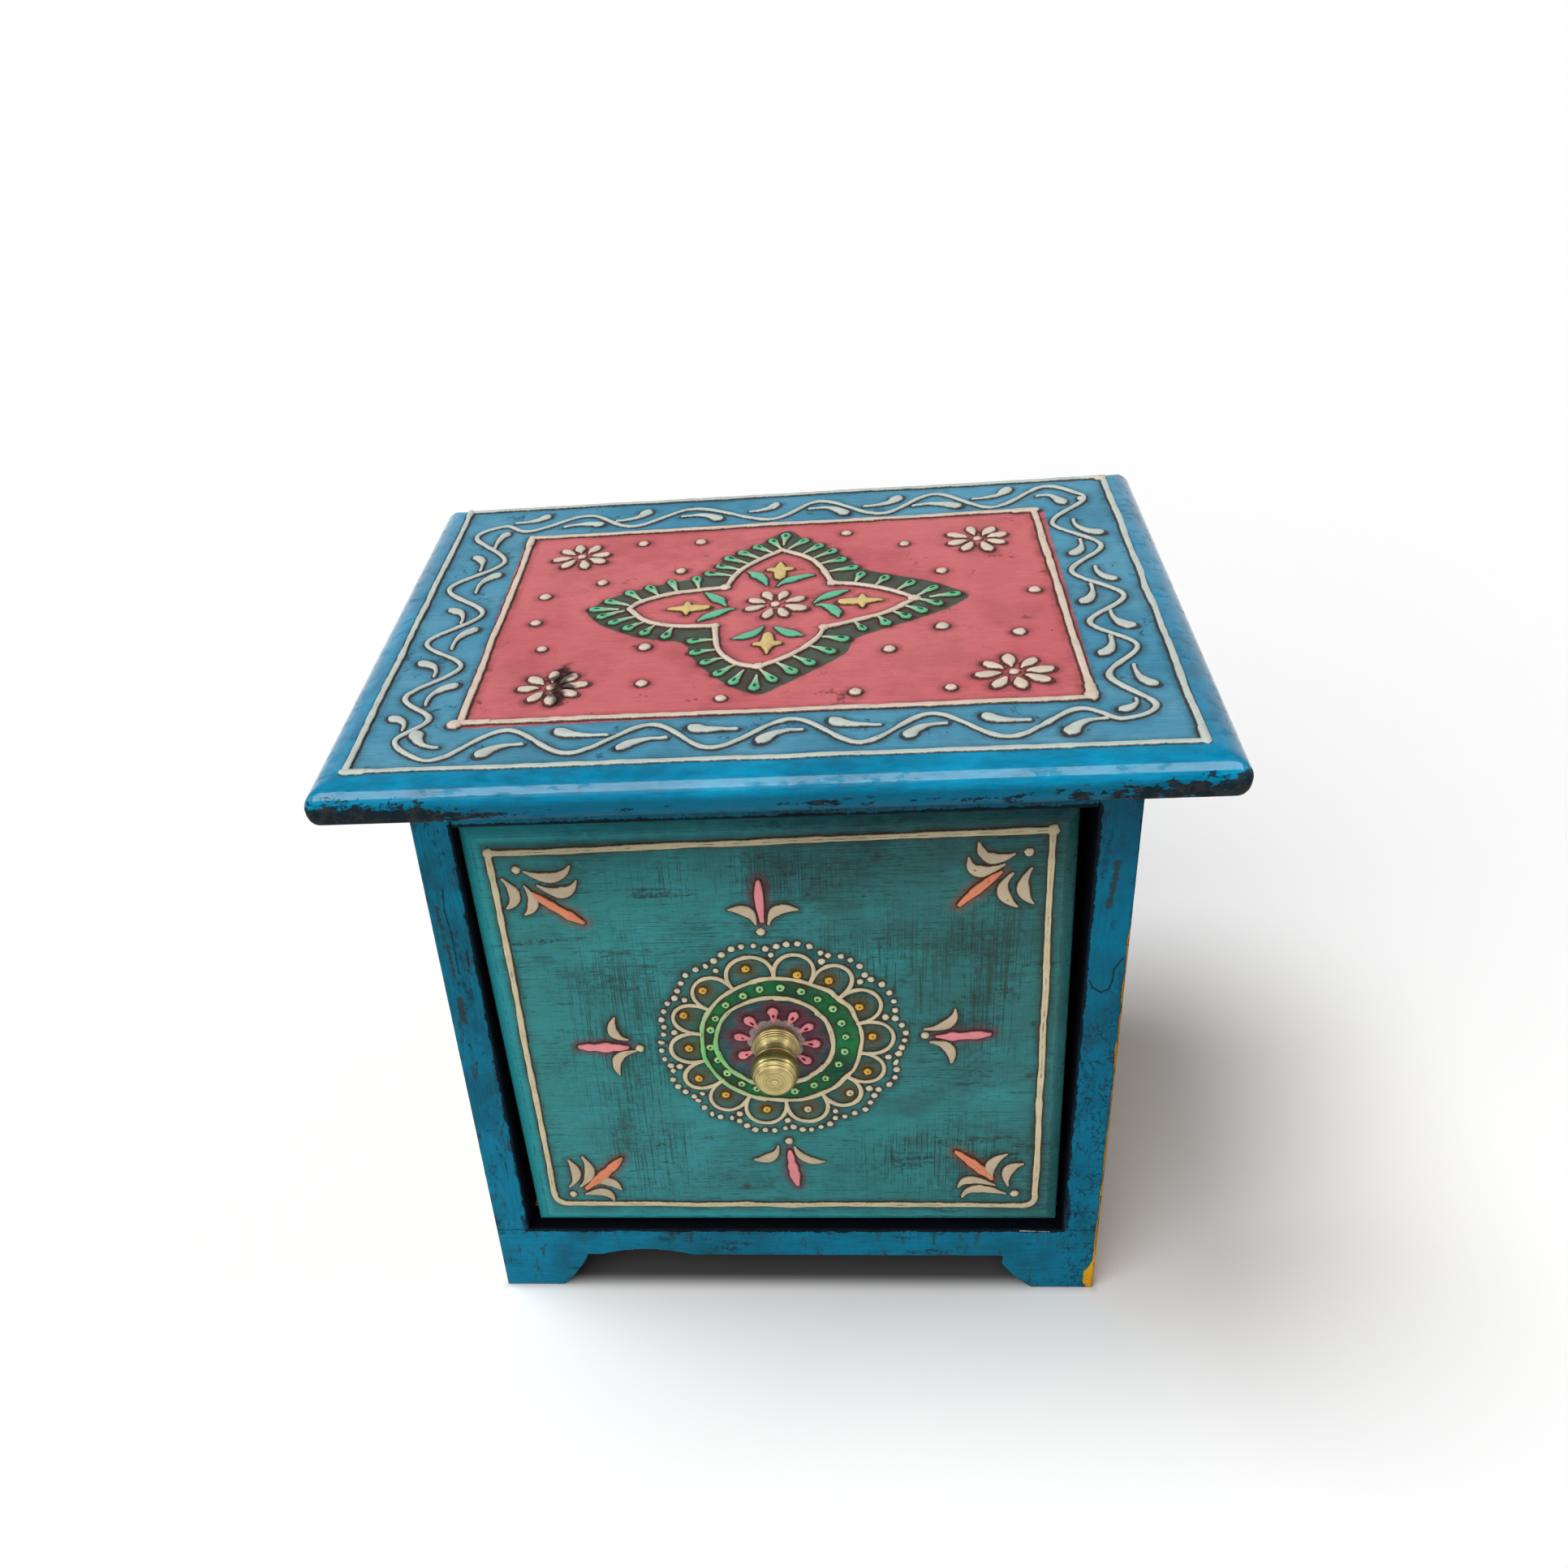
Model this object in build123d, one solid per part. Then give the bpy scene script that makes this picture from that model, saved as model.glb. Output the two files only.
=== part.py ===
# A small hand-painted wooden chest with one drawer, the kind that stands on a table or a shelf.
# It is a nailed case of thin boards on cut-out bracket feet, under a moulded top that overhangs all round.
# The drawer is a nailed box behind a bevelled front, pulled by a turned brass knob.
# Sizes are in millimetres. The origin is on the floor, under the middle of the top board:
# X runs to the right as the drawer is seen, Y to the back and Z up.
import os
from math import cos, radians, sin, sqrt

from build123d import *

# Case
body_width = 166.0  # over the outer faces of the two side boards
body_depth = 134.0  # from the front edges of the sides to the outer face of the back
body_height = 169.0  # floor to the underside of the top board
side_thickness = 9.5
back_thickness = 4.0
apron_height = 22.8  # its top edge is the sill that the drawer passes over
apron_thickness = 9.5
rail_height = 12.0  # the front rail under the top board
rail_thickness = 9.5
deck_thickness = 6.0  # the board that the drawer slides on

# Top board and its moulded edge
top_overhang = 18.0
top_thickness = 9.0
nose_run = 8.2  # how far the rounding of the edge reaches in from it, on the upper face
under_run = 1.2  # the same on the lower face
under_rise = 3.6  # height of the widest line of the edge above the lower face
corner_radius = 3.0

# Bracket feet
foot_width = 16.5  # of a front foot at the floor
bracket_run = 8.5  # sideways reach of the cut from the foot to the arch
bracket_sag = 0.5  # how far the cut hollows
arch_height = 12.6
step_left = 0.4  # short upright at the top of each front bracket
step_right = 3.0
arch_swell = 2.2  # a rise in the hand-cut arch beside the left foot
swell_near = 4.0  # where the rise starts and how wide it is
swell_width = 26.0
side_foot_width = 20.0  # of a foot seen from the side
side_step = 1.5

# Drawer
front_side_gap = 2.4  # between the drawer front and each side board, on average
front_top_gap = 1.2
front_sill_gap = 0.8
front_lean = 2.2  # the front is out of square: its foot stands this much further right than its top
front_recess = 1.7  # how far the face lies behind the front edges of the case
front_thickness = 9.5
bevel_width = 3.0
bevel_depth = 2.2
box_side_thickness = 7.0
box_back_thickness = 7.0
box_bottom_thickness = 4.0
box_side_gap = 3.5  # between the drawer's box and each side board
box_rim_drop = 3.0  # of the box below the top of the drawer front
slide_clearance = 0.3  # under the drawer and behind it, when it is shut

# Knob, turned from brass bar: radii, and distances from its seat
knob_offset = -0.9  # from the middle of the drawer front
knob_seat_radius = 5.4
knob_rim_radius = 6.0
knob_rim_start = 2.4
knob_rim_end = 2.9
knob_neck_radius = 4.0
knob_neck_start = 6.3
knob_flare = 0.3  # how far the seat swells and the waist hollows from a straight taper
knob_ball_radius = 5.95
knob_ball_middle = 11.3
knob_tip_radius = 4.3
knob_tip_dome = 0.4
groove_radii = (3.7, 2.8, 1.9, 1.0)  # rings left by the lathe on the tip, from its edge in
groove_width = 0.25
groove_depth = 0.12

# Knob fixing
screw_radius = 2.0
screw_reach = 7.0  # into the knob
screw_end_space = 0.5  # left in the knob past the screw's end
screw_head_radius = 3.5
screw_head_height = 2.2
screw_slot_width = 1.0
screw_slot_depth = 1.1
thread_clearance = 0.05
front_hole_clearance = 0.15
clear_washer_radius = 6.5
clear_washer_thickness = 0.4
scallop_count = 12
scallop_radius = 1.2
steel_washer_radius = 4.5
steel_washer_hole_radius = 2.2
steel_washer_thickness = 0.8

# Brads
brad_radius = 0.6
brad_head_radius = 1.1
brad_head_height = 0.6
brad_length = 24.0
short_brad_length = 15.0
brad_set = 0.8  # how far a filled head lies under the surface
brad_proud = 0.25  # how far the heads stand out of the back board
brad_inset = 14.0  # from a board's end to its first brad
apron_brad_levels = (0.35, 0.75)  # as shares of the apron's height

# Places that follow from the sizes above
case_left, case_right = -body_width / 2, body_width / 2
case_front, case_rear = -body_depth / 2, body_depth / 2
inner_left, inner_right = case_left + side_thickness, case_right - side_thickness
back_inner = case_rear - back_thickness
sill = apron_height
rail_underside = body_height - rail_height
top_surface = body_height + top_thickness

front_left, front_right = inner_left + front_side_gap, inner_right - front_side_gap
box_left, box_right = inner_left + box_side_gap, inner_right - box_side_gap
front_face = case_front + front_recess
front_back = front_face + front_thickness
front_bottom = sill + front_sill_gap
front_top = rail_underside - front_top_gap
box_rear = back_inner - slide_clearance
box_floor = sill + slide_clearance + box_bottom_thickness
box_rim = front_top - box_rim_drop
knob_x = knob_offset
knob_z = (front_bottom + front_top) / 2


def board(x, y, z):
    """A plain board between two places on each axis."""
    size = Box(x[1] - x[0], y[1] - y[0], z[1] - z[0])
    return Pos((x[0] + x[1]) / 2, (y[0] + y[1]) / 2, (z[0] + z[1]) / 2) * size


def arch_line(low, high, foot, steps, swell=False):
    """The edge of the cut-out between two feet: along the board, then up."""
    start, end = low + foot, high - foot
    near, far = start + bracket_run, end - bracket_run
    near_top, far_top = arch_height - steps[0], arch_height - steps[1]
    sag_near = ((start + near) / 2 + bracket_sag, near_top / 2 - bracket_sag)
    sag_far = ((end + far) / 2 - bracket_sag, far_top / 2 - bracket_sag)
    lines = [
        ThreePointArc((start, 0), sag_near, (near, near_top)),
        Line((near, near_top), (near, arch_height)),
    ]
    if swell:
        rise, fall = near + swell_near, near + swell_near + swell_width
        crest = ((rise + fall) / 2, arch_height + arch_swell)
        lines.append(Line((near, arch_height), (rise, arch_height)))
        lines.append(ThreePointArc((rise, arch_height), crest, (fall, arch_height)))
        lines.append(Line((fall, arch_height), (far, arch_height)))
    else:
        lines.append(Line((near, arch_height), (far, arch_height)))
    lines.append(Line((far, arch_height), (far, far_top)))
    lines.append(ThreePointArc((far, far_top), sag_far, (end, 0)))
    lines.append(Line((end, 0), (start, 0)))
    return make_face(Wire(lines))


def moulded_profile(half_width):
    """A slice through the top: flat, a long elliptical nose, and a small turn under."""
    nose = half_width - nose_run
    under = half_width - under_run
    rise = top_thickness - under_rise
    right = [
        EllipticalCenterArc((nose, under_rise), nose_run, rise, start_angle=0, arc_size=90),
        EllipticalCenterArc((under, under_rise), under_run, under_rise, start_angle=-90, arc_size=90),
    ]
    left = [mirror(line, Plane.YZ) for line in right]
    flats = [Line((-nose, top_thickness), (nose, top_thickness)), Line((-under, 0), (under, 0))]
    return make_face(Wire.combine(right + left + flats)[0])


def top_board():
    """Moulded along all four edges, mitred at the corners, with the corners just eased."""
    half_width, half_depth = body_width / 2 + top_overhang, body_depth / 2 + top_overhang
    under = (0, 0, body_height)
    across = Plane(origin=under, x_dir=(1, 0, 0), z_dir=(0, -1, 0)) * moulded_profile(half_width)
    along = Plane(origin=under, x_dir=(0, 1, 0), z_dir=(1, 0, 0)) * moulded_profile(half_depth)
    moulded = extrude(across, half_depth, both=True) & extrude(along, half_width, both=True)
    outline = RectangleRounded(2 * half_width, 2 * half_depth, corner_radius)
    return moulded & Pos(*under) * extrude(outline, top_thickness)


def side_board(left):
    """A side from the floor to the top, let back for the apron and cut out between its feet."""
    x = (case_left, inner_left) if left else (inner_right, case_right)
    blank = board(x, (case_front, back_inner), (0, body_height))
    blank -= board(x, (case_front, case_front + apron_thickness), (0, apron_height))
    arch = arch_line(case_front, back_inner, side_foot_width, (side_step, side_step))
    outline = Plane(origin=(x[0], 0, 0), x_dir=(0, 1, 0), z_dir=(1, 0, 0)) * arch
    return blank - extrude(outline, side_thickness)


def front_apron():
    """The front board at the floor, with two bracket feet."""
    blank = board((case_left, case_right), (case_front, case_front + apron_thickness), (0, sill))
    arch = arch_line(case_left, case_right, foot_width, (step_left, step_right), swell=True)
    outline = Plane(origin=(0, case_front, 0), x_dir=(1, 0, 0), z_dir=(0, -1, 0)) * arch
    return blank - extrude(outline, -apron_thickness)


def top_rail():
    rail = (case_front, case_front + rail_thickness)
    return board((inner_left, inner_right), rail, (rail_underside, body_height))


def drawer_deck():
    under = sill - deck_thickness
    run = (case_front + apron_thickness, back_inner)
    return board((inner_left, inner_right), run, (under, sill))


def back_panel():
    low = sill - deck_thickness
    return board((case_left, case_right), (back_inner, case_rear), (low, body_height))


def leaning_face(y, inset):
    """The outline of the drawer front at a depth, drawn in all round by an inset."""
    half_width = (front_right - front_left) / 2 - inset
    half_height = (front_top - front_bottom) / 2 - inset
    shift = front_lean * half_height / (front_top - front_bottom)
    corners = [
        (-half_width + shift, -half_height),
        (half_width + shift, -half_height),
        (half_width - shift, half_height),
        (-half_width - shift, half_height),
    ]
    plane = Plane(origin=(0, y, knob_z), x_dir=(1, 0, 0), z_dir=(0, -1, 0))
    return plane * make_face(Polyline(*corners, close=True))


def drawer_front():
    """A thick board, a little out of square, bevelled round its face and bored for a screw."""
    outline = leaning_face(front_face + bevel_depth, 0)
    front = extrude(outline, -(front_thickness - bevel_depth))
    front += loft([outline, leaning_face(front_face, bevel_width)])
    return front - rod(screw_radius + front_hole_clearance, front_face, front_thickness)


def rod(radius, y, length):
    """A round bar on the knob's axis, from y towards the back."""
    centre = Plane(origin=(knob_x, y, knob_z), x_dir=(1, 0, 0), z_dir=(0, 1, 0))
    return extrude(centre * Circle(radius), length)


def drawer_side(left):
    x = (box_left, box_left + box_side_thickness)
    if not left:
        x = (box_right - box_side_thickness, box_right)
    return board(x, (front_back, box_rear), (box_floor, box_rim))


def drawer_back():
    x = (box_left + box_side_thickness, box_right - box_side_thickness)
    return board(x, (box_rear - box_back_thickness, box_rear), (box_floor, box_rim))


def drawer_bottom():
    z = (box_floor - box_bottom_thickness, box_floor)
    return board((box_left, box_right), (front_back, box_rear), z)


def drawer_knob():
    """Seat, flared rim, neck and ball with a ringed tip, in one piece, tapped from behind."""
    seat, rim, neck, ball = knob_seat_radius, knob_rim_radius, knob_neck_radius, knob_ball_radius
    neck_end = knob_ball_middle - sqrt(ball**2 - neck**2)
    tip_edge = knob_ball_middle + sqrt(ball**2 - knob_tip_radius**2)
    flare = ((seat + rim) / 2 + knob_flare, knob_rim_start / 2)
    waist = ((rim + neck) / 2 - knob_flare, (knob_rim_end + knob_neck_start) / 2)
    hole = screw_radius + thread_clearance
    hole_end = screw_reach + screw_end_space
    outside = [
        Line((hole, 0), (seat, 0)),
        ThreePointArc((seat, 0), flare, (rim, knob_rim_start)),
        Line((rim, knob_rim_start), (rim, knob_rim_end)),
        ThreePointArc((rim, knob_rim_end), waist, (neck, knob_neck_start)),
        Line((neck, knob_neck_start), (neck, neck_end)),
        ThreePointArc((neck, neck_end), (ball, knob_ball_middle), (knob_tip_radius, tip_edge)),
    ]
    tip = [(knob_tip_radius, tip_edge)]
    for radius in groove_radii:
        tip.append((radius + groove_width, dome_height(radius + groove_width, tip_edge)))
        tip.append((radius, dome_height(radius, tip_edge) - groove_depth))
        tip.append((radius - groove_width, dome_height(radius - groove_width, tip_edge)))
    tip += [(0, dome_height(0, tip_edge)), (0, hole_end), (hole, hole_end), (hole, 0)]
    knob = revolve(make_face(outside + Polyline(*tip).edges()), Axis.Y)
    return Pos(knob_x, front_face - clear_washer_thickness, knob_z) * Rot(0, 0, 180) * knob


def dome_height(radius, edge):
    """How far the knob's tip, a shallow cap of a large ball, reaches at a radius."""
    cap_radius = (knob_tip_radius**2 + knob_tip_dome**2) / (2 * knob_tip_dome)
    return edge + knob_tip_dome - cap_radius + sqrt(cap_radius**2 - radius**2)


def knob_clear_washer():
    """A soft clear washer with a scalloped rim, between the knob and the paint."""
    disc = Circle(clear_washer_radius)
    for i in range(scallop_count):
        turn = radians(360 / scallop_count * i)
        middle = clear_washer_radius - scallop_radius / 3
        disc += Pos(middle * cos(turn), middle * sin(turn)) * Circle(scallop_radius)
    disc -= Circle(screw_radius + front_hole_clearance)
    seat = Plane(origin=(knob_x, front_face, knob_z), x_dir=(1, 0, 0), z_dir=(0, -1, 0))
    return extrude(seat * disc, clear_washer_thickness)


def knob_steel_washer():
    ring = rod(steel_washer_radius, front_back, steel_washer_thickness)
    return ring - rod(steel_washer_hole_radius, front_back, steel_washer_thickness)


def knob_screw():
    """A slotted machine screw, driven from inside the drawer."""
    tip = front_face - clear_washer_thickness - screw_reach
    head_seat = front_back + steel_washer_thickness
    head_end = head_seat + screw_head_height
    screw = rod(screw_radius, tip, head_seat - tip)
    screw += rod(screw_head_radius, head_seat, screw_head_height)
    slot_x = (knob_x - screw_head_radius, knob_x + screw_head_radius)
    slot_z = (knob_z - screw_slot_width / 2, knob_z + screw_slot_width / 2)
    return screw - board(slot_x, (head_end - screw_slot_depth, head_end), slot_z)


def brad(at, towards, length=brad_length, under=brad_set):
    """A wire nail whose head lies under, or with a negative value above, the surface at a point."""
    way = Vector(*towards)
    head = Plane(origin=Vector(*at) + way * under, z_dir=way)
    return extrude(head * Circle(brad_head_radius), brad_head_height) + extrude(
        head * Circle(brad_radius), length
    )


def spread(low, high, count):
    """Places spaced evenly along a board, an inset in from each end."""
    first, last = low + brad_inset, high - brad_inset
    return [first + (last - first) * i / (count - 1) for i in range(count)]


def brads():
    """Every group of nails, by the name of its node."""
    side_middles = (case_left + side_thickness / 2, case_right - side_thickness / 2)
    box_middles = (box_left + box_side_thickness / 2, box_right - box_side_thickness / 2)
    outward = ((case_left, (1, 0, 0)), (case_right, (-1, 0, 0)))
    box_outward = ((box_left, (1, 0, 0)), (box_right, (-1, 0, 0)))
    along = spread(case_front, back_inner, 3)
    box_along = spread(front_back, box_rear, 3)
    deck_middle = sill - deck_thickness / 2
    box_back_middle = box_rear - box_back_thickness / 2
    rail_middle = (case_front + rail_thickness / 2, rail_underside + rail_height / 2)
    down, up, back, forward = (0, 0, -1), (0, 0, 1), (0, 1, 0), (0, -1, 0)
    short = short_brad_length
    bottom_face = box_floor - box_bottom_thickness
    return {
        "top_board_brads": [brad((x, y, top_surface), down) for x in side_middles for y in along],
        "apron_brads": [
            brad((x, case_front, apron_height * level), back)
            for x in side_middles
            for level in apron_brad_levels
        ],
        "rail_brads": [brad((x, *rail_middle), way) for x, way in outward],
        "deck_brads": [brad((x, y, deck_middle), way) for x, way in outward for y in along],
        "back_panel_brads": [
            brad((x, case_rear, z), forward, short, -brad_proud)
            for x in side_middles
            for z in spread(sill, body_height, 4)
        ]
        + [
            brad((x, case_rear, deck_middle), forward, short, -brad_proud)
            for x in spread(inner_left, inner_right, 3)
        ],
        "drawer_front_brads": [
            brad((x, front_face, z), back)
            for x in box_middles
            for z in spread(box_floor, box_rim, 3)
        ],
        "drawer_back_brads": [
            brad((x, box_back_middle, z), way, short)
            for x, way in box_outward
            for z in spread(box_floor, box_rim, 3)
        ],
        "drawer_bottom_brads": [
            brad((x, y, bottom_face), up, short) for x in box_middles for y in box_along
        ],
    }


pieces = {
    "top_board": top_board(),
    "left_side_board": side_board(left=True),
    "right_side_board": side_board(left=False),
    "front_apron": front_apron(),
    "top_rail": top_rail(),
    "drawer_deck": drawer_deck(),
    "back_panel": back_panel(),
    "drawer_front": drawer_front(),
    "drawer_left_side": drawer_side(left=True),
    "drawer_right_side": drawer_side(left=False),
    "drawer_back": drawer_back(),
    "drawer_bottom": drawer_bottom(),
    "drawer_knob": drawer_knob(),
    "knob_clear_washer": knob_clear_washer(),
    "knob_steel_washer": knob_steel_washer(),
    "knob_screw": knob_screw(),
}
for name, nails in brads().items():
    pieces[name] = Compound(nails)

os.makedirs("parts", exist_ok=True)
for name, piece in pieces.items():
    export_step(piece, f"parts/{name}.step")
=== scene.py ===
import math
import random

import bmesh
import bpy
import numpy as np
from mathutils import Matrix, Vector
from mathutils.kdtree import KDTree


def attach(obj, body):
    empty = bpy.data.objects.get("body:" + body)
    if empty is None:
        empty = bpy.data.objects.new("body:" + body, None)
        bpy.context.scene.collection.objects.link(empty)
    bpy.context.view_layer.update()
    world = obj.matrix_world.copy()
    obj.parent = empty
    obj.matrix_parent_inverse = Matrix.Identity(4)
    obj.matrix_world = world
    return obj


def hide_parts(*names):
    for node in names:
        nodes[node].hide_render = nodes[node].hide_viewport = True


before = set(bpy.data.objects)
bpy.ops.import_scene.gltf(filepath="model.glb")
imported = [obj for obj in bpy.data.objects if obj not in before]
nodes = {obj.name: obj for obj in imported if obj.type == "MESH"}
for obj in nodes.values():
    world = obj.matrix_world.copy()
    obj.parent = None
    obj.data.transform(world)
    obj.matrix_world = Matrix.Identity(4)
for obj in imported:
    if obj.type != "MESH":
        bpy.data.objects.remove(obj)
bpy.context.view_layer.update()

mm = 0.001
scene = bpy.context.scene
dice = random.Random(7)


# Colours as they look in daylight, 0 to 255. Change them here
shades = {
    "red": (195, 99, 105),
    "redPale": (207, 118, 120),
    "plum": (84, 36, 44),
    "sky": (69, 137, 167),
    "skyPale": (99, 157, 181),
    "skyGrime": (34, 58, 70),
    "nose": (0, 108, 142),
    "nosePale": (0, 142, 184),
    "noseDeep": (0, 86, 112),
    "leafGround": (62, 78, 68),
    "leafGroundPale": (84, 96, 84),
    "cream": (218, 200, 182),
    "frostCream": (194, 203, 195),
    "boneCream": (202, 190, 156),
    "leafBone": (188, 171, 144),
    "beadCream": (204, 198, 172),
    "leafGreen": (102, 186, 150),
    "dropGreen": (98, 184, 140),
    "dropCore": (14, 82, 50),
    "dropTail": (196, 206, 178),
    "butter": (212, 188, 124),
    "coneBrown": (58, 40, 30),
    "chipBlack": (24, 26, 28),
    "chipBrown": (46, 42, 32),
    "teal": (46, 121, 120),
    "tealPale": (56, 138, 144),
    "tealBevel": (34, 138, 146),
    "tealDeep": (10, 36, 44),
    "tealGrime": (42, 38, 24),
    "caseBlue": (14, 94, 116),
    "caseBluePale": (4, 122, 158),
    "caseDeep": (0, 88, 116),
    "caseGrime": (22, 30, 34),
    "caseBlack": (8, 11, 18),
    "rust": (46, 48, 40),
    "smear": (34, 24, 26),
    "mustard": (212, 150, 22),
    "mustardPale": (226, 170, 40),
    "mustardGrime": (96, 58, 18),
    "plumGround": (44, 44, 56),
    "pink": (222, 136, 142),
    "pinkGlow": (128, 24, 62),
    "orange": (218, 134, 100),
    "orangeGlow": (140, 66, 34),
    "ringGreen": (14, 74, 44),
    "ringBright": (10, 132, 62),
    "pinkCore": (112, 20, 44),
    "dotGreen": (150, 208, 136),
    "edgeGreen": (112, 190, 116),
    "amber": (214, 166, 64),
    "amberGlow": (98, 74, 16),
    "mango": (190, 148, 102),
    "mangoDark": (138, 94, 58),
    "mangoPore": (84, 54, 32),
}


def shade(name):
    # a daylight colour as the linear one that Blender works in
    rgb = [c / 255 for c in shades[name]]
    rgb = [c / 12.92 if c <= 0.04045 else ((c + 0.055) / 1.055) ** 2.4 for c in rgb]
    return (*rgb, 1.0)


def unit(values):
    return np.clip(values, 0, 1)


# Short ways to add nodes

def sumOf(operation, turned=False):
    # what a wire does for one sign, turned when the wire comes second
    def made(first, second):
        return join(operation, *((second, first) if turned else (first, second)))
    return made


class Wire:
    # the output of a node; sums written with it become nodes
    def __init__(self, socket):
        self.socket = socket

    __add__, __radd__ = sumOf("ADD"), sumOf("ADD", True)
    __sub__, __rsub__ = sumOf("SUBTRACT"), sumOf("SUBTRACT", True)
    __mul__, __rmul__ = sumOf("MULTIPLY"), sumOf("MULTIPLY", True)
    __truediv__, __rtruediv__ = sumOf("DIVIDE"), sumOf("DIVIDE", True)

    def __abs__(self):
        return join("ABSOLUTE", self, 0.0)


def plug(value, socket):
    if isinstance(value, Wire):
        socket.id_data.links.new(value.socket, socket)
    else:
        socket.default_value = value


def addNode(tree, kind, inputs=None, **settings):
    # gives back the new node's outputs, by number and by name
    made = tree.nodes.new(kind)
    for key, value in settings.items():
        setattr(made, key, value)
    for key, value in (inputs or {}).items():
        plug(value, made.inputs[key])
    return {key: Wire(s) for i, s in enumerate(made.outputs) for key in (i, s.name)}


def follow(kind, values, **settings):
    # a node with these values, in the tree of the first one that is a wire
    tree = next(v.socket.id_data for v in values.values() if isinstance(v, Wire))
    return addNode(tree, kind, values, **settings)


def join(operation, *values, clamp=False):
    return follow("ShaderNodeMath", dict(enumerate(values)), operation=operation, use_clamp=clamp)[0]


def most(first, second):
    return join("MAXIMUM", first, second)


def vectors(operation, *values):
    made = follow("ShaderNodeVectorMath", dict(enumerate(values)), operation=operation)
    return made["Value" if operation in ("LENGTH", "DOT_PRODUCT") else "Vector"]


def stretched(place, stretch):
    return vectors("MULTIPLY", place, stretch)


def split(place):
    parts = follow("ShaderNodeSeparateXYZ", {0: place})
    return parts["X"], parts["Y"], parts["Z"]


def ramp(value, low, high, toLow=0.0, toHigh=1.0):
    values = dict(enumerate((value, low, high, toLow, toHigh)))
    return follow("ShaderNodeMapRange", values, interpolation_type="SMOOTHSTEP")[0]


def mixColour(factor, first, second):
    # a colour may be the name of a shade
    first, second = (shade(c) if isinstance(c, str) else c for c in (first, second))
    return follow("ShaderNodeMix", {0: factor, 6: first, 7: second}, data_type="RGBA")[2]


def layered(colour, *layers):
    # lays further colours over a colour, each where its mask is 1
    for mask, over in layers:
        colour = mixColour(mask, colour, over)
    return colour


def cloud(place, scale, detail=3.0, roughness=0.5, seed=0.0, bend=0.0):
    values = {"Vector": place, "W": seed, "Scale": scale, "Detail": detail, "Roughness": roughness,
              "Distortion": bend}
    return follow("ShaderNodeTexNoise", values, noise_dimensions="4D")[0]


def newGroup(name, inputs, outputs):
    # every group has a place first and a seed last; a value tells what kind of socket it needs
    tree = bpy.data.node_groups.new(name, "ShaderNodeTree")
    for label, value in {"Place": (0, 0, 0), **inputs, "Seed": 0.0}.items():
        kind = "Float" if isinstance(value, float) else "Vector" if len(value) == 3 else "Color"
        socket = tree.interface.new_socket(label, in_out="INPUT", socket_type="NodeSocket" + kind)
        socket.default_value = value
    for label, kind in outputs.items():
        tree.interface.new_socket(label, in_out="OUTPUT", socket_type="NodeSocket" + kind)
    start, end = tree.nodes.new("NodeGroupInput"), tree.nodes.new("NodeGroupOutput")
    return tree, [Wire(s) for s in start.outputs][:len(inputs) + 2], end.inputs


def useGroup(group, **values):
    # the words of a socket's name are joined for the keyword: Dirt Colour is dirtColour
    labels = [item.name for item in group.interface.items_tree if item.in_out == "INPUT"]
    named = {label[0].lower() + label[1:].replace(" ", ""): label for label in labels}
    return follow("ShaderNodeGroup", {named[key]: v for key, v in values.items()}, node_tree=group)


def newMaterial(name, fixed=None):
    material = bpy.data.materials.new(name)
    material.use_nodes = True
    tree = material.node_tree
    shader = tree.nodes["Principled BSDF"]
    for key, value in {"Roughness": 0.5, "Specular IOR Level": 0.12, **(fixed or {})}.items():
        plug(value, shader.inputs[key])
    where = addNode(tree, "ShaderNodeTexCoord")["Object"]
    # places are in millimetres, in the row's frame
    return material, shader, stretched(where, (1000, 1000, 1000))


def attribute(material, name, output="Fac"):
    return addNode(material.node_tree, "ShaderNodeAttribute", attribute_name=name)[output]


def finishMaterial(material, shader, colour, roughness, height, depth):
    plug(colour, shader.inputs["Base Color"])
    plug(roughness, shader.inputs["Roughness"])
    bump = follow("ShaderNodeBump", {"Height": height, "Distance": depth})
    plug(bump[0], shader.inputs["Normal"])
    return material


# Effects that several finishes share

def makeSpecks():
    # small ragged spots, one in some of the cells
    inputs = {"Spacing": 6.0, "Size": 0.5, "Share": 0.3}
    tree, (place, spacing, size, share, seed), out = newGroup("specks", inputs, {"Mask": "Float"})
    wobble = cloud(place, 1.3, 3.0, 0.6, seed)
    cells = follow("ShaderNodeTexVoronoi", {"Vector": place, "W": seed, "Scale": 1.0 / spacing},
                   voronoi_dimensions="4D")
    drawn = follow("ShaderNodeSeparateColor", {0: cells["Color"]})
    size = drawn[0] * size * (wobble * 2.0)
    spot = ramp(cells["Distance"] * spacing - size, 0.12, -0.12)
    plug(spot * join("LESS_THAN", drawn[1], share), out["Mask"])
    return tree


def makeScratches():
    # fine broken lines along the direction in which Stretch is small
    inputs = {"Stretch": (0.15, 1, 2.6), "Amount": 0.5}
    tree, (place, stretch, amount, seed), out = newGroup("scratches", inputs, {"Mask": "Float"})
    lines = cloud(stretched(place, stretch), 1.0, 2.0, 0.65, seed)
    patches = cloud(place, 0.05, 3.0, 0.6, seed)
    broken = cloud(place, 0.55, 3.0, 0.6, seed)
    value = lines + (broken - 0.5) * 0.35 + (patches - 0.5) * 0.55
    edge = 0.76 - amount * 0.2
    plug(ramp(value, edge, edge + 0.07), out["Mask"])
    return tree


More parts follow.
